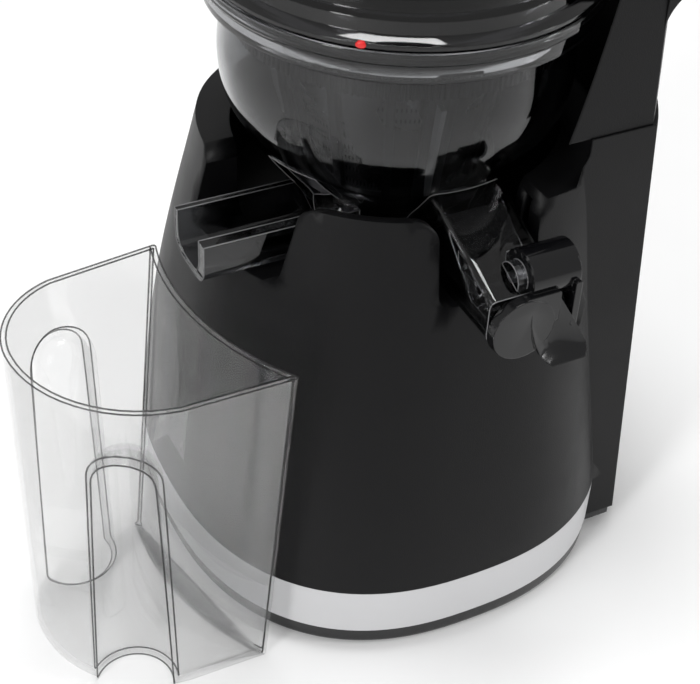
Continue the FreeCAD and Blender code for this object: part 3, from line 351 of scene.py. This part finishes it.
def block_loop(axis, at, across, up, radius, steps=5):
    """A rounded rectangle square to an axis: across and up are the other two ranges, in order."""
    corners = [(across[0], up[0]), (across[1], up[0]), (across[1], up[1]), (across[0], up[1])]
    flat = rounded([Vector((a, b)) for a, b in corners], radius, steps)
    if axis == "x":
        return [Vector((at, p.x, p.y)) for p in flat]
    if axis == "y":
        return [Vector((p.x, at, p.y)) for p in flat]
    return [Vector((p.x, p.y, at)) for p in flat]


def bar(axis, along, across, up, radius):
    """A block with rounded edges along an axis."""
    return loft([block_loop(axis, at, across, up, radius) for at in along])


def rod(start, end, radius_start, radius_end=None, segments=48):
    """A round bar between two points."""
    start, end = Vector(start), Vector(end)
    radius_end = radius_start if radius_end is None else radius_end
    turn = (end - start).to_track_quat("Z", "Y").to_matrix()
    loops = []
    for at, radius in ((start, radius_start), (end, radius_end)):
        loops.append([at + turn @ Vector((radius * math.cos(a), radius * math.sin(a), 0.0))
                      for a in (2 * math.pi * k / segments for k in range(segments))])
    return loft(loops)


def hinge_rod(start, end, radius, segments=48):
    """A round bar on the cap's hinge line."""
    return rod((start, HINGE_Y, HINGE_Z), (end, HINGE_Y, HINGE_Z), radius, segments=segments)


# ---- finishes of the CAD nodes ----------------------------------------------------------
FINISHES = {
    BLACK: ("main_shell", "tower_cover", "carry_handle"),
    BASE: ("base_plate",),
    SILVER: ("trim_band",),
    GLOSS: ("switch_bezel", "rocker", "cord_inlet", "reed_switch"),
    RUBBER: ("feet",),
    STEEL: ("base_screws", "motor_shaft", "motor_stator", "motor_rotor", "motor_pinion", "idler_pin",
            "output_shaft", "pinion_pin", "cap_pin", "lid_magnet"),
    ZINC: ("motor_can",),
    ALLOY: ("motor_lower_bracket",),
    COPPER: ("motor_windings",),
    BRONZE: ("motor_bearings", "output_bushing"),
    NYLON: ("cooling_fan", "idler_gear", "output_gear", "brush_pinion", "auger_gear"),
    GREY: ("gearbox_tray", "gearbox_cover", "gearbox_posts"),
    BOARD: ("control_board",),
    SILICONE: ("shaft_seal", "bowl_seal", "lid_seal", "cap_seal", "pulp_plug"),
    PALE: ("wiper_blades",),
    DARK: ("strainer_frame", "brush_holder"),
    AUGER: ("auger",),
    MARK: ("alignment_dot",),
    strainer_sheet(): ("strainer_mesh",),
}
for finish, names in FINISHES.items():
    for node in names:
        mesh = nodes[node].data
        mesh.materials.clear()
        mesh.materials.append(finish)
        weld = nodes[node].modifiers.new("weld", "WELD")
        weld.merge_threshold = 0.00001


# ---- bowl -------------------------------------------------------------------------------
def bowl_outlines(z_low, z_high, x_high):
    """The bowl's outer and inner outlines, as (radius, height)."""
    side = [(37.0, 1.9), (40.5, 13.4), (48.0, 23.4), (55.0, 33.4), (60.6, 45.4), (62.4, 58.4), (61.4, 70.0),
            (60.0, 79.4)]
    outside = [tuple(p) for p in smooth_line([(r * MM, z_low + z * MM) for r, z in side])]
    lip = [(66.6 * MM, z_high - 12.4 * MM), (67.6 * MM, z_high - 11.6 * MM), (68.2 * MM, z_high - 5.0 * MM),
           (69.6 * MM, z_high - 4.6 * MM), (x_high, z_high - 4.0 * MM), (x_high, z_high - 0.5 * MM),
           (x_high - 0.5 * MM, z_high)]
    outer = [(0.0, z_low), (36.0 * MM, z_low)] + outside + lip + [(0.0, z_high)]
    floor = z_low + 2.4 * MM
    inner = [(0.0, floor), (34.0 * MM, floor)] + [(r - BOWL_WALL, z) for r, z in outside]
    inner += [(63.4 * MM, z_high - 10.6 * MM), (66.6 * MM, z_high - 4.0 * MM), (66.6 * MM, z_high + 2 * MM),
              (0.0, z_high + 2 * MM)]
    return outer, inner


def build_bowl():
    (x_low, x_high), (y_low, _), (z_low, z_high) = span("bowl")
    chute_floor = span("pulp_plug")[2][0]
    outer, inner = bowl_outlines(z_low, z_high, x_high)
    rise = CHUTE_TOP - chute_floor
    chute = [(-9.5 * MM, rise), (-9.5 * MM, 0.0), (-35.5 * MM, 0.0), (-35.5 * MM, rise)]
    trough = [(-11.7, 30.0), (-11.7, 2.2), (-31.0, 2.2), (-31.0, 30.0)]
    chute_loop = rounded([Vector(p) for p in chute], [0, 9 * MM, 9 * MM, 0], 8)
    trough_loop = rounded([Vector((y * MM, z * MM)) for y, z in trough], [0, 6.8 * MM, 6.8 * MM, 0], 8)

    def along_x(loop, start, end):
        return loft([[Vector((x, p.x, chute_floor + p.y)) for p in loop] for x in (start, end)])

    def spout(stations, low, x_range, radius):
        return loft([block_loop("y", y * MM, x_range, (low * MM, high * MM), radius * MM)
                     for y, high in stations])

    spout_out = spout([(-26, 178), (-44, 178), (-58, 175.6), (y_low / MM, 161.3)], SPOUT_LOW, SPOUT_X, 2.8)
    passage_x = (SPOUT_X[0] + BOWL_WALL, SPOUT_X[1] - BOWL_WALL)
    spout_in = spout([(-30, 175), (-44, 173.6), (-60, 171.4), (-82, 152.8), (-110, 152.6)], PASSAGE_LOW,
                     passage_x, 1.6)
    shell = combine(lathe(outer, segments=160), [
        ("UNION", along_x(chute_loop, x_low, -30 * MM)),
        ("UNION", spout_out),
        ("UNION", hinge_rod(-2.0 * MM, 1.6 * MM, 5.5 * MM)),
        ("DIFFERENCE", lathe(inner, segments=160)),
        ("DIFFERENCE", along_x(trough_loop, x_low - 10 * MM, -36 * MM)),
        ("DIFFERENCE", spout_in),
        ("DIFFERENCE", hinge_rod(1.6 * MM, 23.0 * MM, 9.4 * MM)),
        ("DIFFERENCE", rod((0, 0, z_low - 5 * MM), (0, 0, z_low + 5 * MM), 13.4 * MM)),
    ])
    return piece("bowl_shell", shell, SMOKE, "bowl", "bowl", slot="smoke_clear", sharp=28)


def ring_of_teeth(name, radius, depth, z_range, count, body, mat):
    """A ring with fine upright teeth on its outside."""
    points = []
    step = 2 * math.pi / count
    for k in range(count):
        for share, r in ((0.0, radius), (0.42, radius), (0.5, radius - depth), (0.92, radius - depth)):
            a = (k + share) * step
            points.append((r * math.cos(a), r * math.sin(a)))
    thick = 1.4 * MM
    outer = [[Vector((x, y, z)) for x, y in points] for z in z_range]
    hole = rod((0, 0, z_range[0] - MM), (0, 0, z_range[1] + MM), radius - depth - thick, segments=96)
    return piece(name, combine(loft(outer), [("DIFFERENCE", hole)]), mat, body, sharp=25)


# ---- lid, feed tube and pusher ----------------------------------------------------------
def build_lid():
    z_low, z_high = span("lid")[2]
    seat = span("bowl")[2][1]
    steps = [(69.2, 0.3), (69.4, 1.0), (69.4, 2.0), (66.4, 2.9), (65.4, 3.6), (65.0, 8.0), (62.9, 9.6),
             (62.2, 13.6), (60.6, 15.0), (56.0, 19.2), (46.0, 23.6), (30.0, 24.0)]
    outer = [(0.0, z_low), (55.0 * MM, z_low), (59.0 * MM, seat - 6 * MM), (60.0 * MM, seat + 0.3 * MM)]
    outer += [(r * MM, seat + z * MM) for r, z in steps] + [(0.0, seat + 24.0 * MM)]
    inner = [(0.0, z_low - MM), (52.6 * MM, z_low - MM), (56.6 * MM, seat - 5.6 * MM),
             (57.4 * MM, seat + 9 * MM), (53.6 * MM, seat + 16.4 * MM), (44.8 * MM, seat + 21.2 * MM),
             (0.0, seat + 21.4 * MM)]

    def upright(low, high, radius):
        return rod((*TUBE_CENTRE, low), (*TUBE_CENTRE, high), radius, segments=96)

    shell = combine(lathe(outer, segments=160), [
        ("UNION", upright(seat + 10 * MM, z_high, TUBE_RADIUS)),
        ("DIFFERENCE", lathe(inner, segments=160)),
        ("DIFFERENCE", upright(seat + 5 * MM, z_high + MM, TUBE_RADIUS - 2.2 * MM)),
    ])
    return piece("lid_shell", shell, SMOKE_DARK, "lid", "lid", slot="smoke_clear", sharp=28)


def build_lid_frame():
    """Spider under the lid that holds the auger's upper end, and the feed tube's thickened rim."""
    z_low, top = span("lid")[2]
    seat = span("bowl")[2][1]
    depth = (z_low + 0.4 * MM, z_low + 8.0 * MM)
    arms = bar("z", depth, (-54 * MM, 54 * MM), (-2.0 * MM, 2.0 * MM), 1.2 * MM)
    hub = rod((0, 0, z_low + 0.4 * MM), (0, 0, seat + 13.0 * MM), 7.5 * MM)
    socket = rod((0, 0, z_low - MM), (0, 0, seat + 9.0 * MM), 5.2 * MM)
    spider = combine(arms, [("UNION", hub), ("DIFFERENCE", socket)])
    piece("lid_spider", spider, SMOKE, "lid", slot="smoke_clear")
    lip = [(27.0, -8.0), (28.0, -7.0), (28.0, -0.6), (27.4, 0.0), (25.2, 0.0), (24.8, -0.4), (24.8, -8.0)]
    rim = lathe([(r * MM, top + z * MM) for r, z in lip], TUBE_CENTRE, 96)
    piece("tube_rim", rim, SMOKE, "lid", slot="smoke_clear")


def build_pusher():
    (x_low, x_high), (y_low, y_high), (z_low, z_high) = span("pusher")
    centre = ((x_low + x_high) / 2, (y_low + y_high) / 2)
    wide = (x_high - x_low) / 2
    stem = 24.2 * MM
    stop = span("lid")[2][1]
    profile = [(0.0, z_low), (stem - 2.0 * MM, z_low), (stem - 0.6 * MM, z_low + 0.6 * MM),
               (stem, z_low + 2.0 * MM), (stem, stop + 0.4 * MM), (wide - 0.8 * MM, stop + 0.4 * MM),
               (wide, stop + 1.2 * MM), (wide, stop + 4.6 * MM), (wide - 0.8 * MM, stop + 5.4 * MM),
               (stem, stop + 6.0 * MM)]
    grip = smooth_line([(24.2, 6.0), (21.6, 14.0), (20.4, 26.0), (21.2, 38.0), (24.0, 47.0), (26.2, 52.0)], 5)
    profile += [(p.x * MM, stop + p.y * MM) for p in grip]
    profile += [(26.6 * MM, z_high - 4.6 * MM), (26.0 * MM, z_high - 2.0 * MM),
                (23.0 * MM, z_high - 0.5 * MM), (19.0 * MM, z_high), (0.0, z_high)]
    body = lathe(profile, centre, 96)
    return piece("pusher_body", body, SMOKE, "pusher", "pusher", slot="smoke_clear")


def build_mark():
    """The red locking mark: a small domed pad on the lid's rim."""
    out = Vector((math.cos(MARK_ANGLE), math.sin(MARK_ANGLE), 0))
    side = Vector((-math.sin(MARK_ANGLE), math.cos(MARK_ANGLE), 0))
    rings = []
    for depth, share in ((-0.8, 1.0), (0.15, 1.0), (0.40, 0.86), (0.55, 0.55), (0.60, 0.2)):
        centre = out * ((MARK_RADIUS + depth) * MM) + Vector((0, 0, MARK_HEIGHT))
        ring = []
        for k in range(32):
            a = 2 * math.pi * k / 32
            lift = Vector((0, 0, 1.15 * MM * share * math.sin(a)))
            ring.append(centre + side * (1.7 * MM * share * math.cos(a)) + lift)
        rings.append(ring)
    return piece("mark_dot", loft(rings), MARK, "lid", "alignment_dot", slot="red_mark")


# ---- juice cap --------------------------------------------------------------------------
def blade(rows, y_near, lift, hollow, thick, columns=10):
    """A curved plate through rows of (left, right) ends, from top to bottom, bowed out at the bottom."""
    bm = bmesh.new()
    layers = []
    count = len(rows) - 1
    for depth in (0.0, thick):
        grid = []
        for i, (left, right) in enumerate(rows):
            t = i / count
            line = []
            for k in range(columns + 1):
                share = k / columns
                x = left[0] + (right[0] - left[0]) * share
                z = left[1] + (right[1] - left[1]) * share
                y = y_near - lift * t * t + hollow * math.sin(math.pi * share) * math.sin(math.pi * t) + depth
                line.append(bm.verts.new((x * MM, y, z * MM)))
            grid.append(line)
        layers.append(grid)
    front, back = layers
    for i in range(count):
        for k in range(columns):
            bm.faces.new((front[i][k], front[i][k + 1], front[i + 1][k + 1], front[i + 1][k]))
            bm.faces.new((back[i][k], back[i + 1][k], back[i + 1][k + 1], back[i][k + 1]))
        for k in (0, columns):
            bm.faces.new((front[i][k], front[i + 1][k], back[i + 1][k], back[i][k]))
    for i in (0, count):
        for k in range(columns):
            bm.faces.new((front[i][k], back[i][k], back[i][k + 1], front[i][k + 1]))
    return bm


def cap_ratchet():
    """Toothed disc at the end of the cap's barrel."""
    points = []
    for k in range(96):
        tall = 8.6 if (k // 4) % 2 else 7.2
        a = 2 * math.pi * k / 96
        points.append((tall * MM * math.cos(a), tall * MM * math.sin(a)))
    disc = loft([[Vector((x, HINGE_Y + u, HINGE_Z + v)) for u, v in points] for x in (1.7 * MM, 3.0 * MM)])
    return combine(disc, [("DIFFERENCE", hinge_rod(-5 * MM, 9 * MM, 5.6 * MM))])


def build_cap():
    face = span("bowl")[1][0] - 0.4 * MM
    radius = 12.0 * MM
    disc_x, disc_z = -1.0 * MM, 149.5 * MM
    back = face - 3.6 * MM
    disc = rod((disc_x, face, disc_z), (disc_x, back, disc_z), radius, radius - 0.5 * MM, 64)
    bridge = bar("y", (face - 3.4 * MM, face), (disc_x, 12.0 * MM), (disc_z, HINGE_Z - 2.0 * MM), 1.0 * MM)
    web = bar("y", (face - 3.8 * MM, HINGE_Y), (17.0 * MM, 19.4 * MM), (146.0 * MM, HINGE_Z), 0.8 * MM)
    thumb_rows = [
        ((1.5, 161.0), (10.5, 161.4)),
        ((1.2, 156.0), (13.0, 157.0)),
        ((1.6, 150.0), (16.6, 151.0)),
        ((3.2, 143.5), (20.6, 144.0)),
        ((5.4, 138.0), (23.0, 139.2)),
        ((7.2, 135.4), (23.4, 136.4)),
        ((9.0, 134.4), (22.0, 134.6)),
    ]
    wing_rows = [
        ((16.0, 157.6), (20.6, 157.0)),
        ((17.0, 154.0), (25.4, 153.0)),
        ((18.4, 149.0), (27.2, 148.6)),
        ((19.6, 144.0), (27.0, 143.6)),
        ((20.6, 140.0), (26.0, 139.4)),
        ((21.4, 138.0), (24.6, 137.8)),
    ]
    body = combine(hinge_rod(*HINGE_X, BARREL_RADIUS, 64), [
        ("UNION", disc),
        ("UNION", bridge),
        ("UNION", web),
        ("UNION", blade(thumb_rows, face - 3.4 * MM, 5.2 * MM, 2.4 * MM, 2.2 * MM)),
        ("UNION", blade(wing_rows, face + 3.4 * MM, 2.0 * MM, 1.0 * MM, 2.2 * MM)),
        ("DIFFERENCE", hinge_rod(-5 * MM, 30 * MM, 2.05 * MM)),
    ])
    piece("cap_lever", body, GLOSS, "juice_cap", "juice_cap", slot="black_trim", sharp=30)
    piece("cap_ratchet", cap_ratchet(), GLOSS, "juice_cap", slot="black_trim")


# ---- pulp container ---------------------------------------------------------------------
def arc3(p0, p1, p2, steps):
    """Points on the circle through three plan points, without the last."""
    a, b, c = (Vector(p) for p in (p0, p1, p2))
    aa, bb, cc = a.length_squared, b.length_squared, c.length_squared
    d = 2 * (a.x * (b.y - c.y) + b.x * (c.y - a.y) + c.x * (a.y - b.y))
    centre_x = (aa * (b.y - c.y) + bb * (c.y - a.y) + cc * (a.y - b.y)) / d
    centre_y = (aa * (c.x - b.x) + bb * (a.x - c.x) + cc * (b.x - a.x)) / d
    centre = Vector((centre_x, centre_y))
    start, mid, end = (math.atan2(p.y - centre_y, p.x - centre_x) for p in (a, b, c))
    sweep = (end - start) % (2 * math.pi)
    if (mid - start) % (2 * math.pi) > sweep:
        sweep -= 2 * math.pi
    radius = (a - centre).length
    angles = [start + sweep * k / steps for k in range(steps)]
    return [centre + radius * Vector((math.cos(a), math.sin(a))) for a in angles]


def cup_outline(rise, inset):
    """Plan outline at a share of the height, drawn in by a distance, in millimetres."""
    near_front = (-80.8 + 9.3 * rise, -76.6 - 2.0 * rise)
    near_back = (-100.6 + 12.0 * rise, 7.0 + 0.8 * rise)
    hollow = (-100.4 + 9.3 * rise, -28.0)
    front_far = (-112.0, -76.4 - 1.8 * rise)
    front_mid = (-142.2, -61.6 - 0.8 * rise)
    far = (-154.8, -31.0)
    back_mid = (-147.2, -8.4 - 0.6 * rise)
    back_far = (-130.0, 2.0 + 0.4 * rise)
    outline = [Vector(near_front)]
    outline += arc3(front_far, front_mid, far, 14)
    outline += arc3(far, back_mid, back_far, 14)
    outline += [Vector(back_far), Vector(near_back)]
    outline += arc3(near_back, hollow, near_front, 28)[1:]
    radii = [0.0] * len(outline)
    for corner in (Vector(near_front), Vector(near_back)):
        radii[outline.index(corner)] = 3.0
    line = rounded(outline, radii, 6)
    if inset <= 0.0:
        return line
    result = []
    for i, here in enumerate(line):
        along = (line[(i + 1) % len(line)] - line[i - 1]).normalized()
        inward = Vector((along.y, -along.x))
        result.append(here + inward * inset)
    return result


def sharp_chains(mesh, least):
    """The mesh's sharp edges as runs of points."""
    bm = bmesh.new()
    bm.from_mesh(mesh)
    sharp = {e for e in bm.edges if len(e.link_faces) == 2 and e.calc_face_angle() > least}
    at = {}
    for edge in sharp:
        for vert in edge.verts:
            at.setdefault(vert.index, []).append(edge)
    ends = sorted(i for i, edges in at.items() if len(edges) != 2)
    starts = ends + sorted(i for i in at if i not in set(ends))
    bm.verts.ensure_lookup_table()
    used = set()
    chains = []
    for start in starts:
        for edge in sorted(at[start], key=lambda e: e.index):
            if edge in used:
                continue
            vert = bm.verts[start]
            run = [vert.co.copy()]
            while edge is not None:
                used.add(edge)
                vert = edge.other_vert(vert)
                run.append(vert.co.copy())
                if len(at[vert.index]) != 2:
                    break
                edge = next((e for e in at[vert.index] if e not in used), None)
            chains.append(run)
    bm.free()
    return chains


def thin_line(bm, run, radius, sides=6):
    """A thin round tube along a run of points, added to a mesh."""
    points = [run[0]]
    for point in run[1:]:
        if (point - points[-1]).length > 0.25 * MM:
            points.append(point)
    if len(points) < 2:
        return
    rings = []
    for k, point in enumerate(points):
        ahead = points[min(k + 1, len(points) - 1)] - points[max(k - 1, 0)]
        ahead.normalize()
        guide = Vector((0, 0, 1)) if abs(ahead.z) < 0.8 else Vector((1, 0, 0))
        across = ahead.cross(guide).normalized()
        other = ahead.cross(across).normalized()
        ring = []
        for n in range(sides):
            a = 2 * math.pi * n / sides
            ring.append(bm.verts.new(point + (across * math.cos(a) + other * math.sin(a)) * radius))
        rings.append(ring)
    for low, high in zip(rings, rings[1:]):
        for n in range(sides):
            m = (n + 1) % sides
            bm.faces.new((low[n], low[m], high[m], high[n]))
    bm.faces.new(rings[0][::-1])
    bm.faces.new(rings[-1])


def painted_edge_lines(name, source, radius, body, material_used, least=50.0, shortest=6.0):
    """Thin lines along the sharp edges of a clear moulding, where its wall is seen edge-on; they carry
    painted edge light: painted shade on the cup, painted highlight on the bowl.
    """
    painted_lines = bmesh.new()
    for run in sharp_chains(source.data, math.radians(least)):
        length = sum((b - a).length for a, b in zip(run, run[1:]))
        if length > shortest * MM:
            thin_line(painted_lines, run, radius)
    return piece(name, painted_lines, material_used, body, sharp=180)


def build_cup():
    z_low, z_high = span("pulp_container")[2]
    height = z_high - z_low
    tall = height / MM
    wall = CUP_WALL

    def at(z, inset):
        return [Vector((p.x * MM, p.y * MM, z)) for p in cup_outline(max(0.0, min(1.0, z / height)), inset)]

    def groove(extra, side):
        """A leaning cone with a domed top, in one outer corner."""
        foot = Vector((GROOVE_X * MM, (GROOVE_MID_Y + side * GROOVE_APART) * MM, -0.5 * MM))
        top = foot + Vector((1.8 * MM, -side * MM, GROOVE_HEIGHT * MM))
        low_radius = (GROOVE_LOW_RADIUS + extra) * MM
        high_radius = (GROOVE_TOP_RADIUS + extra) * MM
        rings = []
        for k in range(9):
            t = k / 8
            rings.append((foot.lerp(top, t), low_radius + (high_radius - low_radius) * t))
        for k in range(1, 8):
            a = math.radians(90 * k / 8)
            rings.append((top + Vector((0, 0, high_radius * math.sin(a))), high_radius * math.cos(a)))
        angles = [2 * math.pi * k / 72 for k in range(72)]
        return loft([[c + Vector((r * math.cos(a), r * math.sin(a), 0)) for a in angles] for c, r in rings])

    levels = [(0.0, 1.0), (0.3, 0.4), (1.0, 0.0), (tall * 0.5, 0.0), (tall, 0.0)]
    outer = loft([at(z * MM, inset) for z, inset in levels])
    levels = [(wall, wall + 1.2), (wall + 0.5, wall + 0.4), (wall + 1.5, wall), (tall * 0.5, wall),
              (tall + 2.0, wall)]
    cavity = loft([at(z * MM, inset) for z, inset in levels])
    cavity = combine(cavity, [("DIFFERENCE", groove(wall, side)) for side in (-1, 1)])
    shell = combine(outer, [("DIFFERENCE", groove(0.0, side)) for side in (-1, 1)] + [("DIFFERENCE", cavity)])
    cup = piece("pulp_cup", shell, CLEAR, "pulp_container", "pulp_container", slot="cup_clear", sharp=28)
    # Painted shade lines along the cup's sharp edges.
    painted_edge_lines("cup_painted_edge_shade", cup, 0.32 * MM, "pulp_container", CUP_EDGE_SHADE_PAINT)


bowl_shell = build_bowl()
# Painted highlight lines along the bowl's sharp chute and spout edges.
painted_edge_lines("bowl_painted_edge_highlights", bowl_shell, 0.22 * MM, "bowl", BOWL_EDGE_HIGHLIGHT_PAINT, least=48.0, shortest=9.0)
ring_of_teeth("comb_ring", COMB_RADIUS, 1.1 * MM, COMB_Z, 168, "bowl", DARK)
ring_of_teeth("comb_collar", COMB_RADIUS - 0.2 * MM, 0.3 * MM, COLLAR_Z, 24, "bowl", DARK)
build_lid()
build_lid_frame()
build_pusher()
build_cap()
build_cup()
build_mark()


# ---- floor, light and camera ------------------------------------------------------------
def build_floor():
    bm = bmesh.new()
    bmesh.ops.create_grid(bm, x_segments=2, y_segments=2, size=6.0)
    mesh = bpy.data.meshes.new("floor")
    bm.to_mesh(mesh)
    bm.free()
    mesh.materials.append(material("pale_floor", (0.93, 0.93, 0.93), 0.6, mottle=0.004))
    floor = bpy.data.objects.new("floor", mesh)
    bpy.context.scene.collection.objects.link(floor)


def area_light(name, place, target, size, power):
    lamp = bpy.data.lights.new(name, "AREA")
    lamp.shape = "RECTANGLE"
    lamp.size, lamp.size_y = size
    lamp.energy = power
    obj = bpy.data.objects.new(name, lamp)
    obj.location = place
    obj.rotation_euler = (Vector(target) - Vector(place)).to_track_quat("-Z", "Y").to_euler()
    bpy.context.scene.collection.objects.link(obj)


def build_light():
    world = bpy.data.worlds.new("studio")
    bpy.context.scene.world = world
    world.use_nodes = True
    world.node_tree.nodes["Background"].inputs["Color"].default_value = (1.0, 1.0, 1.0, 1.0)
    world.node_tree.nodes["Background"].inputs["Strength"].default_value = 0.55
    area_light("key", (-1.3, -0.7, 0.9), (0, 0, 0.12), (0.30, 1.1), 12.0)
    area_light("side", (1.3, -0.9, 0.7), (0, 0, 0.12), (0.20, 1.1), 7.0)
    area_light("top", (0.1, 0.2, 1.6), (0, 0, 0.1), (0.5, 0.5), 12.0)


def build_camera():
    """The camera looks down on the juicer's front from its left."""
    azimuth, elevation, roll = math.radians(-28.15), math.radians(39.69), math.radians(3.15)
    distance = 0.61895
    turn = Matrix.Rotation(azimuth, 3, "Z")
    target = turn @ Vector((-0.01054, 0.0, 0.0678))
    back = turn @ Vector((0.0, -math.cos(elevation), math.sin(elevation)))
    right = turn @ Vector((1.0, 0.0, 0.0))
    up = back.cross(right)
    axis_x = right * math.cos(roll) + up * math.sin(roll)
    axis_y = up * math.cos(roll) - right * math.sin(roll)
    lens = bpy.data.cameras.new("camera")
    lens.lens = 79.01
    lens.sensor_width = 36.0
    lens.clip_start = 0.01
    camera = bpy.data.objects.new("camera", lens)
    basis = Matrix((axis_x, axis_y, back)).transposed().to_4x4()
    camera.matrix_world = Matrix.Translation(target + back * distance) @ basis
    bpy.context.scene.collection.objects.link(camera)
    bpy.context.scene.camera = camera
    bpy.context.scene.view_settings.view_transform = "Standard"


build_floor()
build_light()
build_camera()
